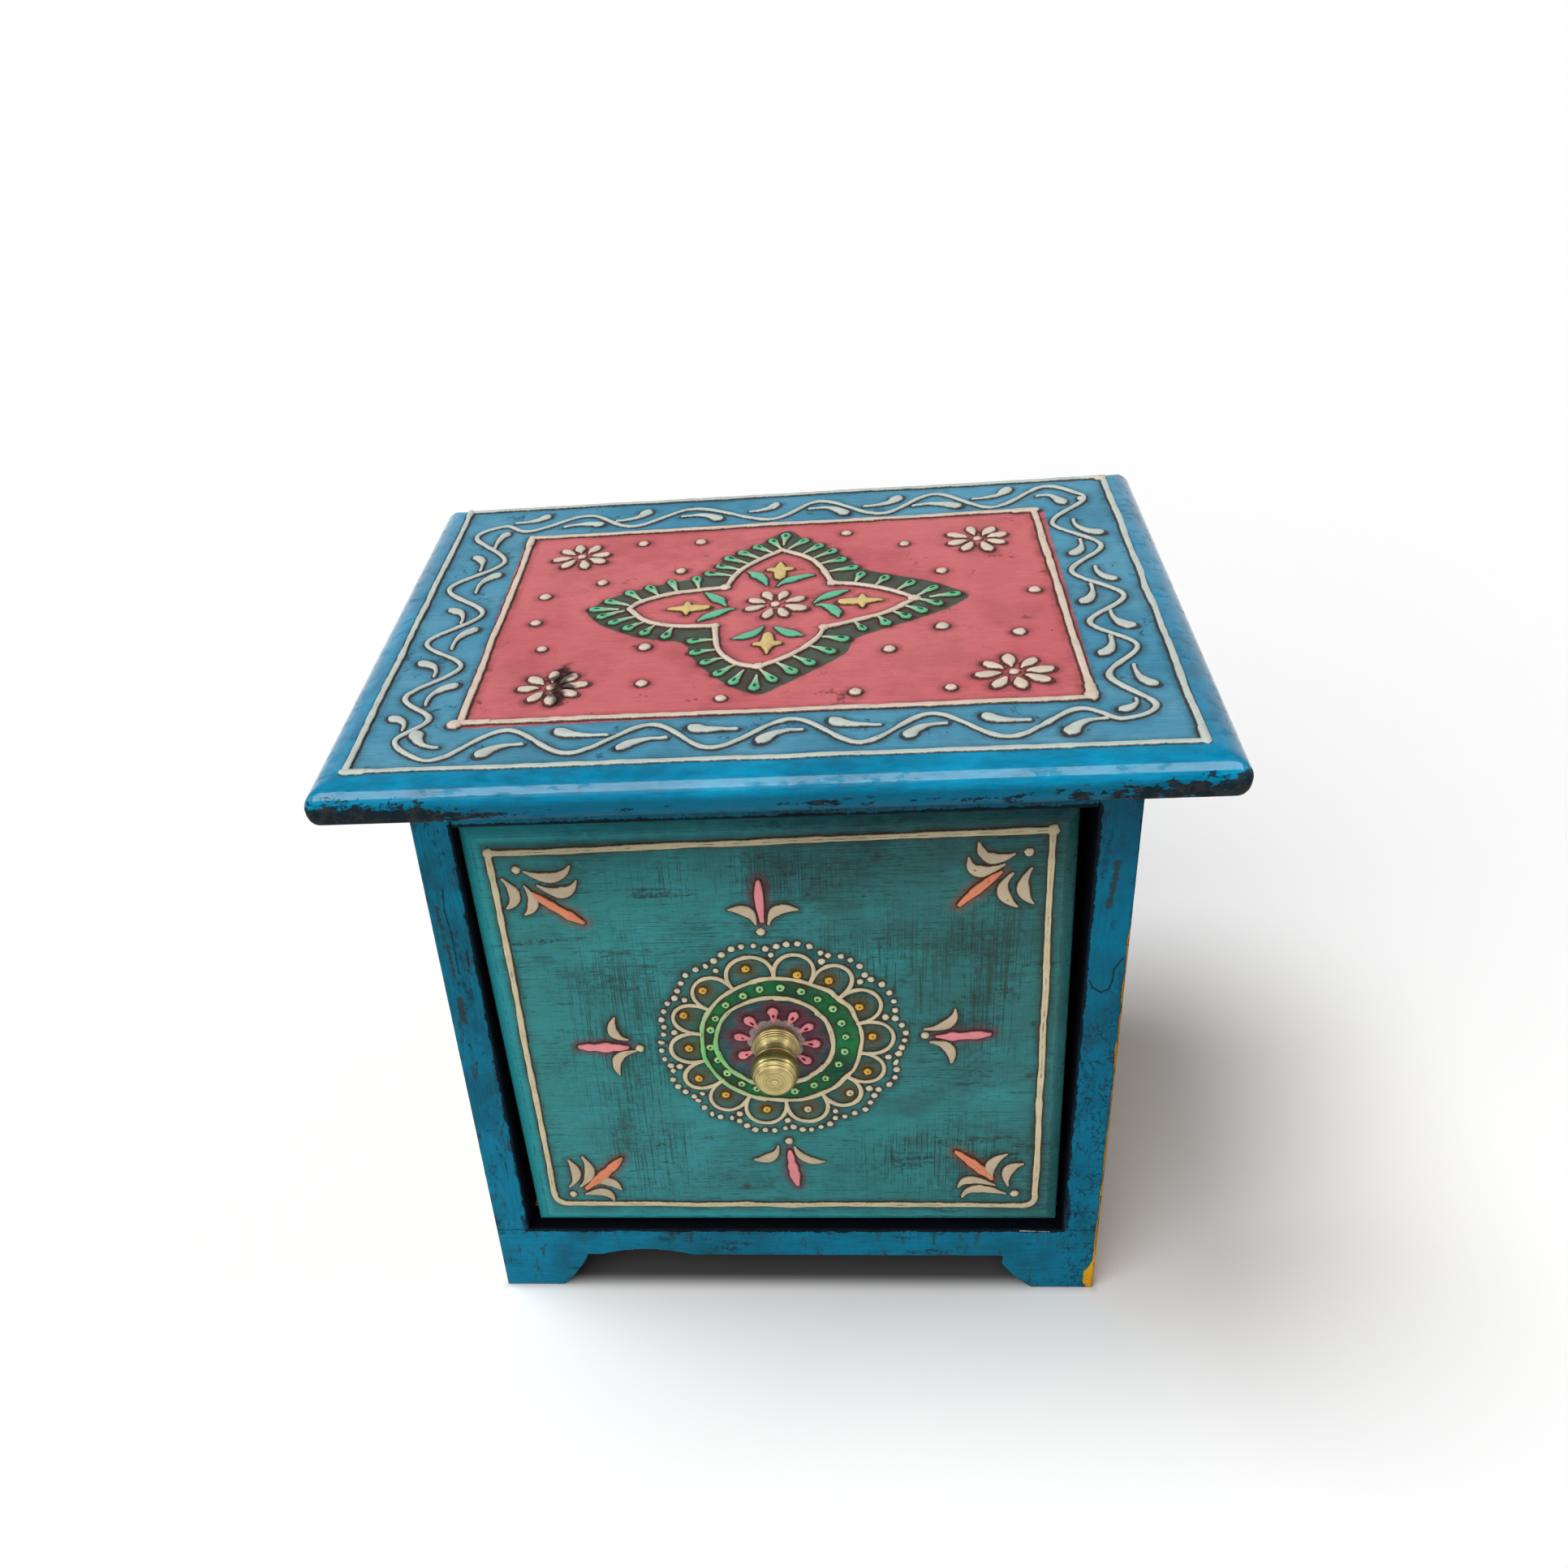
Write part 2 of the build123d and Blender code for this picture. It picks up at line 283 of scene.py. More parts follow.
def makeRaggedWear():
    # paint rubbed off within Reach of an edge, with an outline broken by Ragged
    inputs = {"Edge": 0.0, "Reach": 0.5, "Ragged": 1.0}
    tree, (place, edge, reach, ragged, seed), out = newGroup("raggedWear", inputs, {"Mask": "Float"})
    broken = (cloud(place, 0.26, 8.0, 0.74, seed) - 0.5) * ragged
    plug(ramp(reach - edge + broken * 2.0, -0.06, 0.1), out["Mask"])
    return tree


def makeStrokeWash():
    # the thin dark outline of cone work, and the glaze that stays around it
    inputs = {"Gap": 9.0, "Line": 0.4, "Reach": 1.6}
    tree, (place, gap, line, reach, seed), out = newGroup("strokeWash", inputs,
                                                          {"Line": "Float", "Wash": "Float"})
    wobble = cloud(place, 0.9, 3.0, 0.6, seed) - 0.5
    plug(ramp(gap + wobble * 0.5, line, line * 0.45), out["Line"])
    patches = ramp(cloud(place, 0.16, 4.0, 0.62, seed), 0.36, 0.62, 0.3, 1.0)
    wash = ramp(gap, reach * (wobble + 1.0), 0.0)
    plug(wash * patches, out["Wash"])
    return tree


def makeHairline():
    # a thin shaky line from Start to End, as seen from the front
    inputs = {"Start": (0, 0, 0), "End": (0, 0, 1), "Width": 0.3, "Shake": 0.4}
    tree, (place, start, end, width, shake, seed), out = newGroup("hairline", inputs, {"Mask": "Float"})
    along = vectors("SUBTRACT", end, start)
    off = stretched(vectors("SUBTRACT", place, start), (1, 0, 1))
    reach, length = vectors("DOT_PRODUCT", off, along), vectors("DOT_PRODUCT", along, along)
    share = join("DIVIDE", reach, length, clamp=True)
    nearest = follow("ShaderNodeVectorMath", {0: along, "Scale": share}, operation="SCALE")[0]
    away = vectors("LENGTH", vectors("SUBTRACT", off, nearest))
    wobble = cloud(place, 0.9, 5.0, 0.7, seed) - 0.5
    plug(ramp(away + wobble * shake, width, width * 0.4), out["Mask"])
    return tree


def makeAgedPaint(specks, scratches):
    # hand-brushed paint under a dark glaze: two tones, brush marks, smudges, spots and scratches
    inputs = {"Colour": (0.5, 0.5, 0.5, 1), "Pale Colour": (0.6, 0.6, 0.6, 1),
              "Dirt Colour": (0.05, 0.05, 0.05, 1), "Stretch": (0.05, 1.5, 1.5),
              "Smudge Stretch": (1, 1, 1), "Dirt": 0.3, "Scratch": 0.3}
    tree, given, out = newGroup("agedPaint", inputs, {"Colour": "Color", "Dirt": "Float", "Height": "Float"})
    place, main, pale, grime, stretch, smudgeStretch, amount, scratch, seed = given
    slow = ramp(cloud(place, 0.024, 4.0, 0.6, seed), 0.36, 0.64)
    marks = cloud(stretched(place, stretch), 1.0, 4.0, 0.65, seed)
    fine = cloud(place, 1.1, 4.0, 0.65, seed)
    tone = join("ADD", slow * 0.6, ramp(marks, 0.34, 0.66, -0.2, 0.4), clamp=True)
    deep = ramp(cloud(place, 0.07, 5.0, 0.62, seed + 1.7), 0.44, 0.66, 0.0, 0.5) * amount
    # rubbed smudges with crisp outlines, broken up inside
    smudge = cloud(stretched(place, smudgeStretch), 0.13, 9.0, 0.74, seed + 3.1)
    edge = 0.64 - amount * 0.13
    smudge = ramp(smudge, edge, edge + 0.04) * ramp(fine, 0.4, 0.56, 0.25, 1.0)
    spots = useGroup(specks, place=place, spacing=5.5, size=0.45, seed=seed, share=amount * 0.7)["Mask"]
    lines = useGroup(scratches, place=place, stretch=stretch, amount=scratch, seed=seed)["Mask"]
    dirt = most(most(most(smudge * 0.72, spots * 0.8), deep), lines * 0.68)
    plug(layered(main, (tone, pale), (dirt, grime)), out["Colour"])
    plug(dirt, out["Dirt"])
    plug(marks * 0.7 + fine * 0.5 - dirt * 0.35, out["Height"])
    return tree


def makeWoodGrain():
    # plain mango wood: soft growth bands, long fibres and short dark pores
    tree, (place, stretch, seed), out = newGroup("woodGrain", {"Stretch": (1, 1, 0.04)},
                                                 {"Colour": "Color", "Height": "Float"})
    along = stretched(place, stretch)
    bands = join("PINGPONG", cloud(along, 0.11, 3.0, 0.5, seed, 0.6) * 7.0, 0.5)
    fibres = cloud(along, 1.7, 4.0, 0.65, seed)
    pores = ramp(cloud(stretched(along, (1, 1, 2.5)), 2.4, 1.0, 0.5, seed), 0.66, 0.74)
    tone = join("ADD", bands * 0.9, ramp(fibres, 0.3, 0.7, -0.1, 0.5), clamp=True)
    plug(mixColour(pores * 0.7, mixColour(tone, "mango", "mangoDark"), "mangoPore"), out["Colour"])
    plug(fibres - pores * 0.6, out["Height"])
    return tree


specks = makeSpecks()
scratches = makeScratches()
raggedWear = makeRaggedWear()
strokeWash = makeStrokeWash()
hairline = makeHairline()
agedPaint = makeAgedPaint(specks, scratches)
woodGrain = makeWoodGrain()


def coat(place, tones, stretch, dirt, scratch, seed, smudge=(1, 1, 1)):
    # one coat of aged paint; its tones are the colour, the pale colour and that of the dirt
    colour, pale, grime = (shade(tone) for tone in tones)
    return useGroup(agedPaint, place=place, colour=colour, paleColour=pale, dirtColour=grime,
                    stretch=stretch, smudgeStretch=smudge, dirt=dirt, scratch=scratch, seed=seed)


def rubbed(place, edge, reach, ragged, seed):
    return useGroup(raggedWear, place=place, edge=edge, reach=reach, ragged=ragged, seed=seed)["Mask"]


print("stage: shared effects ready")


# Camera and light

cameraView = {"yaw": 0.156876, "pitch": 0.627091, "roll": -0.114221, "place": (18.146, -370.435, 344.516),
              "focal": 1927.717, "middle": (801.48, 1164.15), "imageSide": 1932, "filmWidth": 36.0}


def addCamera(view):
    turn, tip, lean = view["yaw"], view["pitch"], view["roll"]
    about = Matrix.Rotation(turn, 3, "Z")
    ahead = about @ Vector((0, math.cos(tip), -math.sin(tip)))
    right = about @ Vector((1, 0, 0))
    up = right.cross(ahead)
    leanRight = math.cos(lean) * right + math.sin(lean) * up
    leanUp = math.cos(lean) * up - math.sin(lean) * right
    data = bpy.data.cameras.new("camera")
    data.sensor_width = view["filmWidth"]
    data.lens = view["focal"] / view["imageSide"] * view["filmWidth"]
    data.shift_x = 0.5 - view["middle"][0] / view["imageSide"]
    data.shift_y = view["middle"][1] / view["imageSide"] - 0.5
    camera = bpy.data.objects.new("camera", data)
    scene.collection.objects.link(camera)
    camera.matrix_world = Matrix.Translation(Vector(view["place"]) * mm) @ \
        Matrix((leanRight, leanUp, -ahead)).transposed().to_4x4()
    scene.camera = camera


# broad soft suns, each from a direction; "spread" is how wide it looks in degrees
sunPlan = {
    "key": {"towards": (-0.35, 0.05, 1.0), "spread": 28, "strength": 1.85},
    "front": {"towards": (-0.5, -1.21, 1.0), "spread": 66, "strength": 2.15},
}
# lamps that only show as a glint: the strip along the moulding, the others on the knob
glintPlan = {
    "strip": {"place": (0.0, -0.5, 1.25), "size": (1.8, 0.7), "watts": 88},
    "left": {"place": (-0.85, -0.13, 0.69), "size": (0.35, 0.35), "watts": 2.6},
    "right": {"place": (0.85, -0.13, 0.69), "size": (0.35, 0.35), "watts": 2.2},
    "above": {"place": (-0.15, -0.85, 1.05), "size": (0.5, 0.5), "watts": 3.2},
}
# how much light the white room gives, and how bright it looks
skyLight, backdropLight = 0.05, 0.97
mouldings = bpy.data.collections.new("mouldings")      # what the strip shows on


def addLamps(aim=Vector((0, 0, 0.09))):
    for name, values in sunPlan.items():
        data = bpy.data.lights.new(name, "SUN")
        data.energy, data.angle = values["strength"], math.radians(values["spread"])
        placeLamp(name, data, Vector(values["towards"]), Vector((0, 0, 0))).visible_glossy = False
    for name, values in glintPlan.items():
        data = bpy.data.lights.new(name, "AREA")
        data.shape = "RECTANGLE"
        data.size, data.size_y = values["size"]
        data.energy = values["watts"]
        lamp = placeLamp(name, data, Vector(values["place"]), aim)
        lamp.visible_diffuse = False
        if name == "strip":
            lamp.light_linking.receiver_collection = mouldings


def placeLamp(name, data, place, aim):
    lamp = bpy.data.objects.new(name, data)
    scene.collection.objects.link(lamp)
    turned = (aim - place).to_track_quat("-Z", "Y").to_matrix()
    lamp.matrix_world = Matrix.Translation(place) @ turned.to_4x4()
    return lamp


def seenDirectly(tree):
    # 1 for what the camera, a mirror or glass sees of the stage, 0 for the light that it gives
    rays = addNode(tree, "ShaderNodeLightPath")
    seen = most(rays["Is Camera Ray"], rays["Is Glossy Ray"])
    return most(seen, rays["Is Transmission Ray"])


def addSky(given, seen):
    world = bpy.data.worlds.new("whiteRoom")
    scene.world = world
    world.use_nodes = True
    tree = world.node_tree
    backdrop = tree.nodes["Background"]
    backdrop.inputs["Color"].default_value = (1, 1, 1, 1)
    plug(ramp(seenDirectly(tree), 0.0, 1.0, given, seen), backdrop.inputs["Strength"])


# "cover" is half the size of the ground that the object stands over, where a painted shadow darkens the floor
stageValues = {"reach": 6.0, "paper": 0.96, "mottled": 0.985, "lift": 0.03, "cover": (82.0, 66.0),
               "covered": (0.09, 0.09, 0.09, 1)}


def addFloor(values):
    fixed = {"Roughness": 0.9, "Specular IOR Level": 0.1, "Emission Color": (1, 1, 1, 1)}
    material, shader, place = newMaterial("paleFloor", fixed)
    pale, dull = ((tone,) * 3 + (1,) for tone in (values["paper"], values["paper"] * values["mottled"]))
    paper = mixColour(cloud(place, 0.01, 2.0), pale, dull)
    # painted shadow: the floor is painted dark under the object, as hardly any light gets there
    x, y = split(place)[:2]
    paintedShadow = ramp(most(abs(x) - values["cover"][0], abs(y) - values["cover"][1]), 4.0, -4.0)
    plug(mixColour(paintedShadow, paper, values["covered"]), shader.inputs["Base Color"])
    seen = seenDirectly(material.node_tree)
    plug(seen * values["lift"] * (1.0 - paintedShadow), shader.inputs["Emission Strength"])
    side = values["reach"]
    mesh = bpy.data.meshes.new("paperFloor")
    mesh.from_pydata([(-side, -side, 0), (side, -side, 0), (side, side, 0), (-side, side, 0)], [],
                     [(0, 1, 2, 3)])
    mesh.materials.append(material)
    floor = bpy.data.objects.new("paperFloor", mesh)
    scene.collection.objects.link(floor)


addCamera(cameraView)
addLamps()
addSky(skyLight, backdropLight)
addFloor(stageValues)
scene.view_settings.view_transform = "Standard"
print("stage: camera, lamps and floor")


# Pieces

def addPiece(name, points, faces, material, body, replaced=(), floats=None, colours=None, smooth=True):
    # points in millimetres, in the row's frame
    mesh = bpy.data.meshes.new(name)
    mesh.from_pydata((np.asarray(points, float) * mm).tolist(), [], faces)
    for key, values in (floats or {}).items():
        layer = mesh.attributes.new(key, "FLOAT", "POINT")
        layer.data.foreach_set("value", np.asarray(values, np.float32))
    for key, values in (colours or {}).items():
        layer = mesh.attributes.new(key, "FLOAT_COLOR", "POINT")
        layer.data.foreach_set("color", np.asarray(values, np.float32).ravel())
    if smooth:
        mesh.shade_smooth()
    return settle(bpy.data.objects.new(name, mesh), material, body, replaced)


def settle(piece, material, body, replaced=()):
    piece.data.materials.clear()
    piece.data.materials.append(material)
    scene.collection.objects.link(piece)
    if replaced:
        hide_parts(*replaced)
    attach(piece, body)
    return piece


def gridFaces(across, up):
    # the four-sided faces of a sheet of across by up points
    index = np.arange(across * up).reshape(up, across)
    corners = (index[:-1, :-1], index[:-1, 1:], index[1:, 1:], index[1:, :-1])
    return np.stack([c.ravel() for c in corners], 1)


def ringFaces(rings, count):
    # the faces between closed rings of count points
    for start in range(0, (rings - 1) * count, count):
        for k in range(count):
            a, b = start + k, start + (k + 1) % count
            yield a, b, b + count, a + count


def sheetRim(across, up):
    # the points round a sheet, anticlockwise
    index = np.arange(across * up).reshape(up, across)
    return np.concatenate((index[0, :-1], index[:-1, -1], index[-1, :0:-1], index[:0:-1, 0]))


def closeUnder(points, faces, rim, rings):
    # walls from a sheet's rim down through further rings of points, and a floor across the last
    points, faces = list(map(tuple, points)), faces.tolist()
    last = rim
    for ring in rings:
        new = np.arange(len(points), len(points) + len(ring))
        points += list(map(tuple, ring))
        after = np.roll(last, -1), np.roll(new, -1)
        faces += np.stack((last, new, after[1], after[0]), 1).tolist()
        last = new
    faces.append(last[::-1].tolist())
    return points, faces


# Cone work: raised lines of thick paint. Strokes are kept flat until the board's surface is known

def smoothPath(points, closed=False, step=0.7):
    # a Catmull-Rom line through the points, at even steps
    points = np.asarray(points, float)
    if closed:
        ends = np.vstack((points[-1], points, points[:2]))
    else:
        ends = np.vstack((2 * points[0] - points[1], points, 2 * points[-1] - points[-2]))
    share = np.linspace(0, 1, 24, endpoint=False)[:, None]
    run = []
    for a, b, c, d in zip(ends, ends[1:], ends[2:], ends[3:]):
        run.append(0.5 * (2 * b + (c - a) * share + (2 * a - 5 * b + 4 * c - d) * share ** 2
                          + (3 * b - a - 3 * c + d) * share ** 3))
    run.append(points[:1] if closed else points[-1:])
    return evenly(np.vstack(run), step)


def straightPath(points, step=0.7):
    return evenly(np.asarray(points, float), step)


def evenly(line, step):
    lengths = np.hypot(*np.diff(line, axis=0).T)
    travelled = np.concatenate(([0], np.cumsum(lengths)))
    count = max(2, int(round(travelled[-1] / step)) + 1)
    at = np.linspace(0, travelled[-1], count)
    return np.stack([np.interp(at, travelled, line[:, k]) for k in (0, 1)], 1)


def curvedPath(start, bend, end, step=0.55):
    share = np.linspace(0, 1, 30)[:, None]
    start, bend, end = (np.array(p, float) for p in (start, bend, end))
    return evenly((1 - share) ** 2 * start + 2 * share * (1 - share) * bend + share ** 2 * end, step)


class ConeWork:
    # the strokes on one board
    # across the stroke (-1 to 1) and how high it stands there
    profiles = {
        "round": ((-1.0, -0.14), (-0.9, 0.5), (-0.6, 0.92), (0.0, 1.0), (0.6, 0.92), (0.9, 0.5),
                  (1.0, -0.14)),
        "double": ((-1.0, -0.14), (-0.9, 0.6), (-0.55, 1.0), (0.0, 0.6), (0.55, 1.0), (0.9, 0.6),
                   (1.0, -0.14)),
    }

    def __init__(self, seed):
        self.points, self.faces, self.across, self.pits, self.tints = [], [], [], [], []
        self.samples, self.glows = [], []
        self.random = np.random.default_rng(seed)

    def unsteady(self, count, depth, reach):
        # a slow random change along a stroke, as a hand makes it
        knots = self.random.normal(0, depth, max(2, int(count / reach) + 2))
        return np.interp(np.linspace(0, len(knots) - 1, count), np.arange(len(knots)), knots)

    def stroke(self, path, half, colour, height=0.55, closed=False, profile="round", pit=0.4,
               shaky=0.09, glow=None):
        path = np.asarray(path, float)
        half = np.broadcast_to(np.asarray(half, float), len(path)).copy()
        if closed:
            path, half = path[:-1], half[:-1]
        half *= 1 + np.clip(self.unsteady(len(path), shaky, 4), -0.25, 0.25)
        way = np.roll(path, -1, 0) - np.roll(path, 1, 0) if closed else np.gradient(path, axis=0)
        way /= np.maximum(np.hypot(*way.T), 1e-9)[:, None]
        if not closed:      # rounded ends
            turn = np.radians((0.01, 20, 42, 66))
            for end in (0, -1):
                back = way[end] * (1 if end else -1)
                tips = path[end] + np.outer(half[end] * np.cos(turn), back)
                sizes = half[end] * np.maximum(np.sin(turn), 0.05)
                cap = np.column_stack((tips, sizes, np.repeat(way[[end]], len(turn), 0)))
                line = np.column_stack((path, half, way))
                line = np.vstack((line, cap[::-1]) if end else (cap, line))
                path, half, way = line[:, :2], line[:, 2], line[:, 3:]
        shape = np.array(self.profiles[profile])
        side = np.stack((way[:, 1], -way[:, 0]), 1)
        uneven = 1 + np.clip(self.unsteady(len(path), 0.08, 3), -0.2, 0.2)
        tall = height * np.minimum(1, half / 0.62) ** 0.8 * uneven
        sheet = path[:, None, :] + (half[:, None] * shape[None, :, 0])[:, :, None] * side[:, None, :]
        lift = tall[:, None] * shape[None, :, 1]
        first = len(self.points)
        self.points += np.dstack((sheet, lift)).reshape(-1, 3).tolist()
        wide, count = len(shape), len(path)
        faces = gridFaces(wide, count)
        row = np.arange(0, (count - 1) * wide, wide)
        faces = np.vstack((faces, np.stack((row + wide - 1, row, row + wide, row + 2 * wide - 1), 1)))
        if closed:
            a, b = np.arange(wide) + (count - 1) * wide, np.arange(wide)
            after = np.roll(a, -1), np.roll(b, -1)
            faces = np.vstack((faces, np.stack((a, after[0], after[1], b), 1)))
        self.faces += (faces + first).tolist()
        if not closed:
            self.faces += [list(range(first + wide - 1, first - 1, -1)),
                           list(range(first + (count - 1) * wide, first + count * wide))]
        self.across += np.tile(shape[:, 0], count).tolist()
        self.pits += [pit * self.random.uniform(0.6, 1.3)] * (wide * count)
        tint = colour(path) if callable(colour) else np.repeat([shade(colour)], count, 0)
        self.tints += np.repeat(tint, wide, 0).tolist()
        self.keep(path, half, glow)

    def keep(self, path, half, glow):
        self.samples += np.column_stack((path, half)).tolist()
        if glow:
            self.glows.append((np.asarray(path), np.asarray(half), glow))

    def dot(self, at, radius, colour, height=0.6, pit=0.6, glow=None):
        count = 14
        turns = np.linspace(0, 2 * math.pi, count, endpoint=False)
        wobble = 1 + self.random.normal(0, 0.06, count)
        first = len(self.points)
        for size, lift in ((1.0, -0.14), (0.88, 0.42), (0.64, 0.86), (0.34, 1.0)):
            for turn, off in zip(turns, wobble):
                reach = radius * size * off
                self.points.append([at[0] + reach * math.cos(turn), at[1] + reach * math.sin(turn),
                                    height * lift])
                self.across.append(size)
        self.points.append([at[0], at[1], height * 0.9])
        self.across.append(0.0)
        last = len(self.points) - 1
        self.faces += [[first + i for i in face] for face in ringFaces(4, count)]
        self.faces += [[last - count + i, last - count + (i + 1) % count, last] for i in range(count)]
        self.faces.append(list(range(first, first + count))[::-1])
        self.pits += [pit * self.random.uniform(0.3, 1.5)] * (4 * count + 1)
        self.tints += [shade(colour)] * (4 * count + 1)
        self.keep(np.array([at]), np.array([radius]), glow)

    def frameSide(self, a, b, half, colour, shift, reach, pit, pinned=False):
        # a straight double line that wanders a little, and not at its ends when it is pinned
        path = straightPath((a, b))
        along = (np.array(b) - a) / math.dist(a, b)
        drift = self.unsteady(len(path), shift, reach)[:, None] * np.array((-along[1], along[0]))
        if pinned:
            drift[[0, -1]] = 0
        self.stroke(path + drift, half, colour, profile="double", pit=pit)
        return along

    def comma(self, head, tail, bend, half=1.85, colour="frostCream"):
        path = curvedPath(head, bend, tail)
        share = np.linspace(0, 1, len(path))
        wide = 0.5 + (half - 0.5) * (1 - share) ** 1.8
        self.stroke(path, wide * (1 + 0.1 * np.sin(share * 7)), colour, height=0.6, pit=0.25)

    def leaf(self, root, bend, tip, half, colour, profile="round", height=0.5):
        path = curvedPath(root, bend, tip)
        share = np.linspace(0, 1, len(path))
        wide = 0.34 + (half - 0.34) * np.sin(math.pi * unit(share) ** 1.15) ** 1.25
        self.stroke(path, wide, colour, height=height, profile=profile, pit=0.5)

    def petal(self, root, end, half, colour):
        path = straightPath((root, end), 0.4)
        share = np.linspace(0, 1, len(path))
        wide = 0.4 + (half - 0.4) * np.sin(unit(share * 0.62) * math.pi) ** 1.1
        self.stroke(path, wide, colour, height=0.6, pit=0.2, shaky=0.05)

    def soil(self, cover, colour):
        # darken strokes, as soil or as painted shade, by an amount worked out for every flat place
        flat = np.array(self.points)
        amount = cover(flat[:, 0], flat[:, 1])[:, None]
        self.tints = (np.array(self.tints) * (1 - amount) + np.array(shade(colour)) * amount).tolist()

    def gapFrom(self, places, limit=9.0):
        # how far each place of a board is from the nearest stroke's side
        tree = KDTree(len(self.samples))
        for i, (u, v, _) in enumerate(self.samples):
            tree.insert((u, v, 0), i)
        tree.balance()
        halves = [s[2] for s in self.samples]
        gaps = np.empty(len(places))
        for i, (u, v) in enumerate(places):
            gaps[i] = min(away - halves[k] for _, k, away in tree.find_n((u, v, 0), 5))
        return np.clip(gaps, 0, limit)

    def glowOver(self, places, stain):
        # soft coloured stains round some strokes, laid into a board's stain colours
        for path, half, (colour, reach, strength) in self.glows:
            low, high = path.min(0) - reach - 2, path.max(0) + reach + 2
            near = np.nonzero(((places > low) & (places < high)).all(1))[0]
            if not len(near):
                continue
            away = np.hypot(*(places[near][:, None, :] - path[None, :, :]).transpose(2, 0, 1))
            away = (away - half[None, :]).min(1)
            amount = strength * unit(1 - away / reach) ** 1.3
            layStainAndShade(stain, amount, colour, near)

    def piece(self, name, lay, material, body, slot):
        flat = np.array(self.points)
        return addPiece(name, lay(flat[:, 0], flat[:, 1], flat[:, 2]), self.faces, material, body,
                        floats={"across": self.across, "pit": self.pits}, colours={"tint": self.tints})


def layStainAndShade(stain, amount, colour, chosen=slice(None)):
    # paint a stain, or a painted shade, over what is there: colour in the first three values, cover in the
    # fourth
    old, amount = stain[chosen], np.asarray(amount)[:, None]
    cover = amount + old[:, 3:] * (1 - amount)
    mixed = np.array(shade(colour)[:3]) * amount + old[:, :3] * old[:, 3:] * (1 - amount)
    stain[chosen] = np.column_stack((mixed / np.maximum(cover, 1e-6), cover))


def insideShape(places, shape):
    inside = np.zeros(len(places), bool)
    for (ax, ay), (bx, by) in zip(shape, np.roll(shape, -1, 0)):
        crosses = (ay > places[:, 1]) != (by > places[:, 1])
        at = (bx - ax) * (places[:, 1] - ay) / (by - ay + 1e-12) + ax
        inside ^= crosses & (places[:, 0] < at)
    return inside


def signedReach(places, shape):
    # distance to a closed outline, negative inside
    low, high = shape.min(0) - 6, shape.max(0) + 6
    near = np.nonzero(((places > low) & (places < high)).all(1))[0]
    result = np.full(len(places), 9.0)
    away = np.full(len(near), 99.0)
    for point in shape:
        away = np.minimum(away, np.hypot(*(places[near] - point).T))
    result[near] = np.where(insideShape(places[near], shape), -away, away)
    return np.clip(result, -9, 9)


# The moulded top

topBoard = {"halfWidth": 101.0, "halfDepth": 85.0, "surface": 178.0, "under": 169.0, "widest": 172.6,
            "noseRun": 8.2, "underRun": 1.2, "cornerRadius": 3.0, "cell": 0.7, "noseSteps": 12,
            "redLeft": -71.0, "redRight": 73.4, "redBack": 55.2, "rubbedLine": 170.9}


def topPlace(x, y):
    # how far a place lies inside the rounded outline of the top
    insideX, insideY = topBoard["halfWidth"] - np.abs(x), topBoard["halfDepth"] - np.abs(y)
    radius = topBoard["cornerRadius"]
    corner = radius - np.hypot(radius - insideX, radius - insideY)
    return np.where((insideX < radius) & (insideY < radius), corner, np.minimum(insideX, insideY))


def topHeight(x, y):
    run = topBoard["noseRun"]
    fall = 1 - np.clip(topPlace(x, y), 0, run) / run
    rise = topBoard["surface"] - topBoard["widest"]
    return topBoard["widest"] + rise * np.sqrt(np.maximum(0, 1 - fall ** 2))


def noseLines(half):
    run, count = topBoard["noseRun"], topBoard["noseSteps"]
    nose = half - run + run * np.sin(np.linspace(0, math.pi / 2, count + 1)[1:])
    middle = np.linspace(-(half - run), half - run, int(2 * (half - run) / topBoard["cell"]))
    return np.concatenate((-nose[::-1], middle, nose))


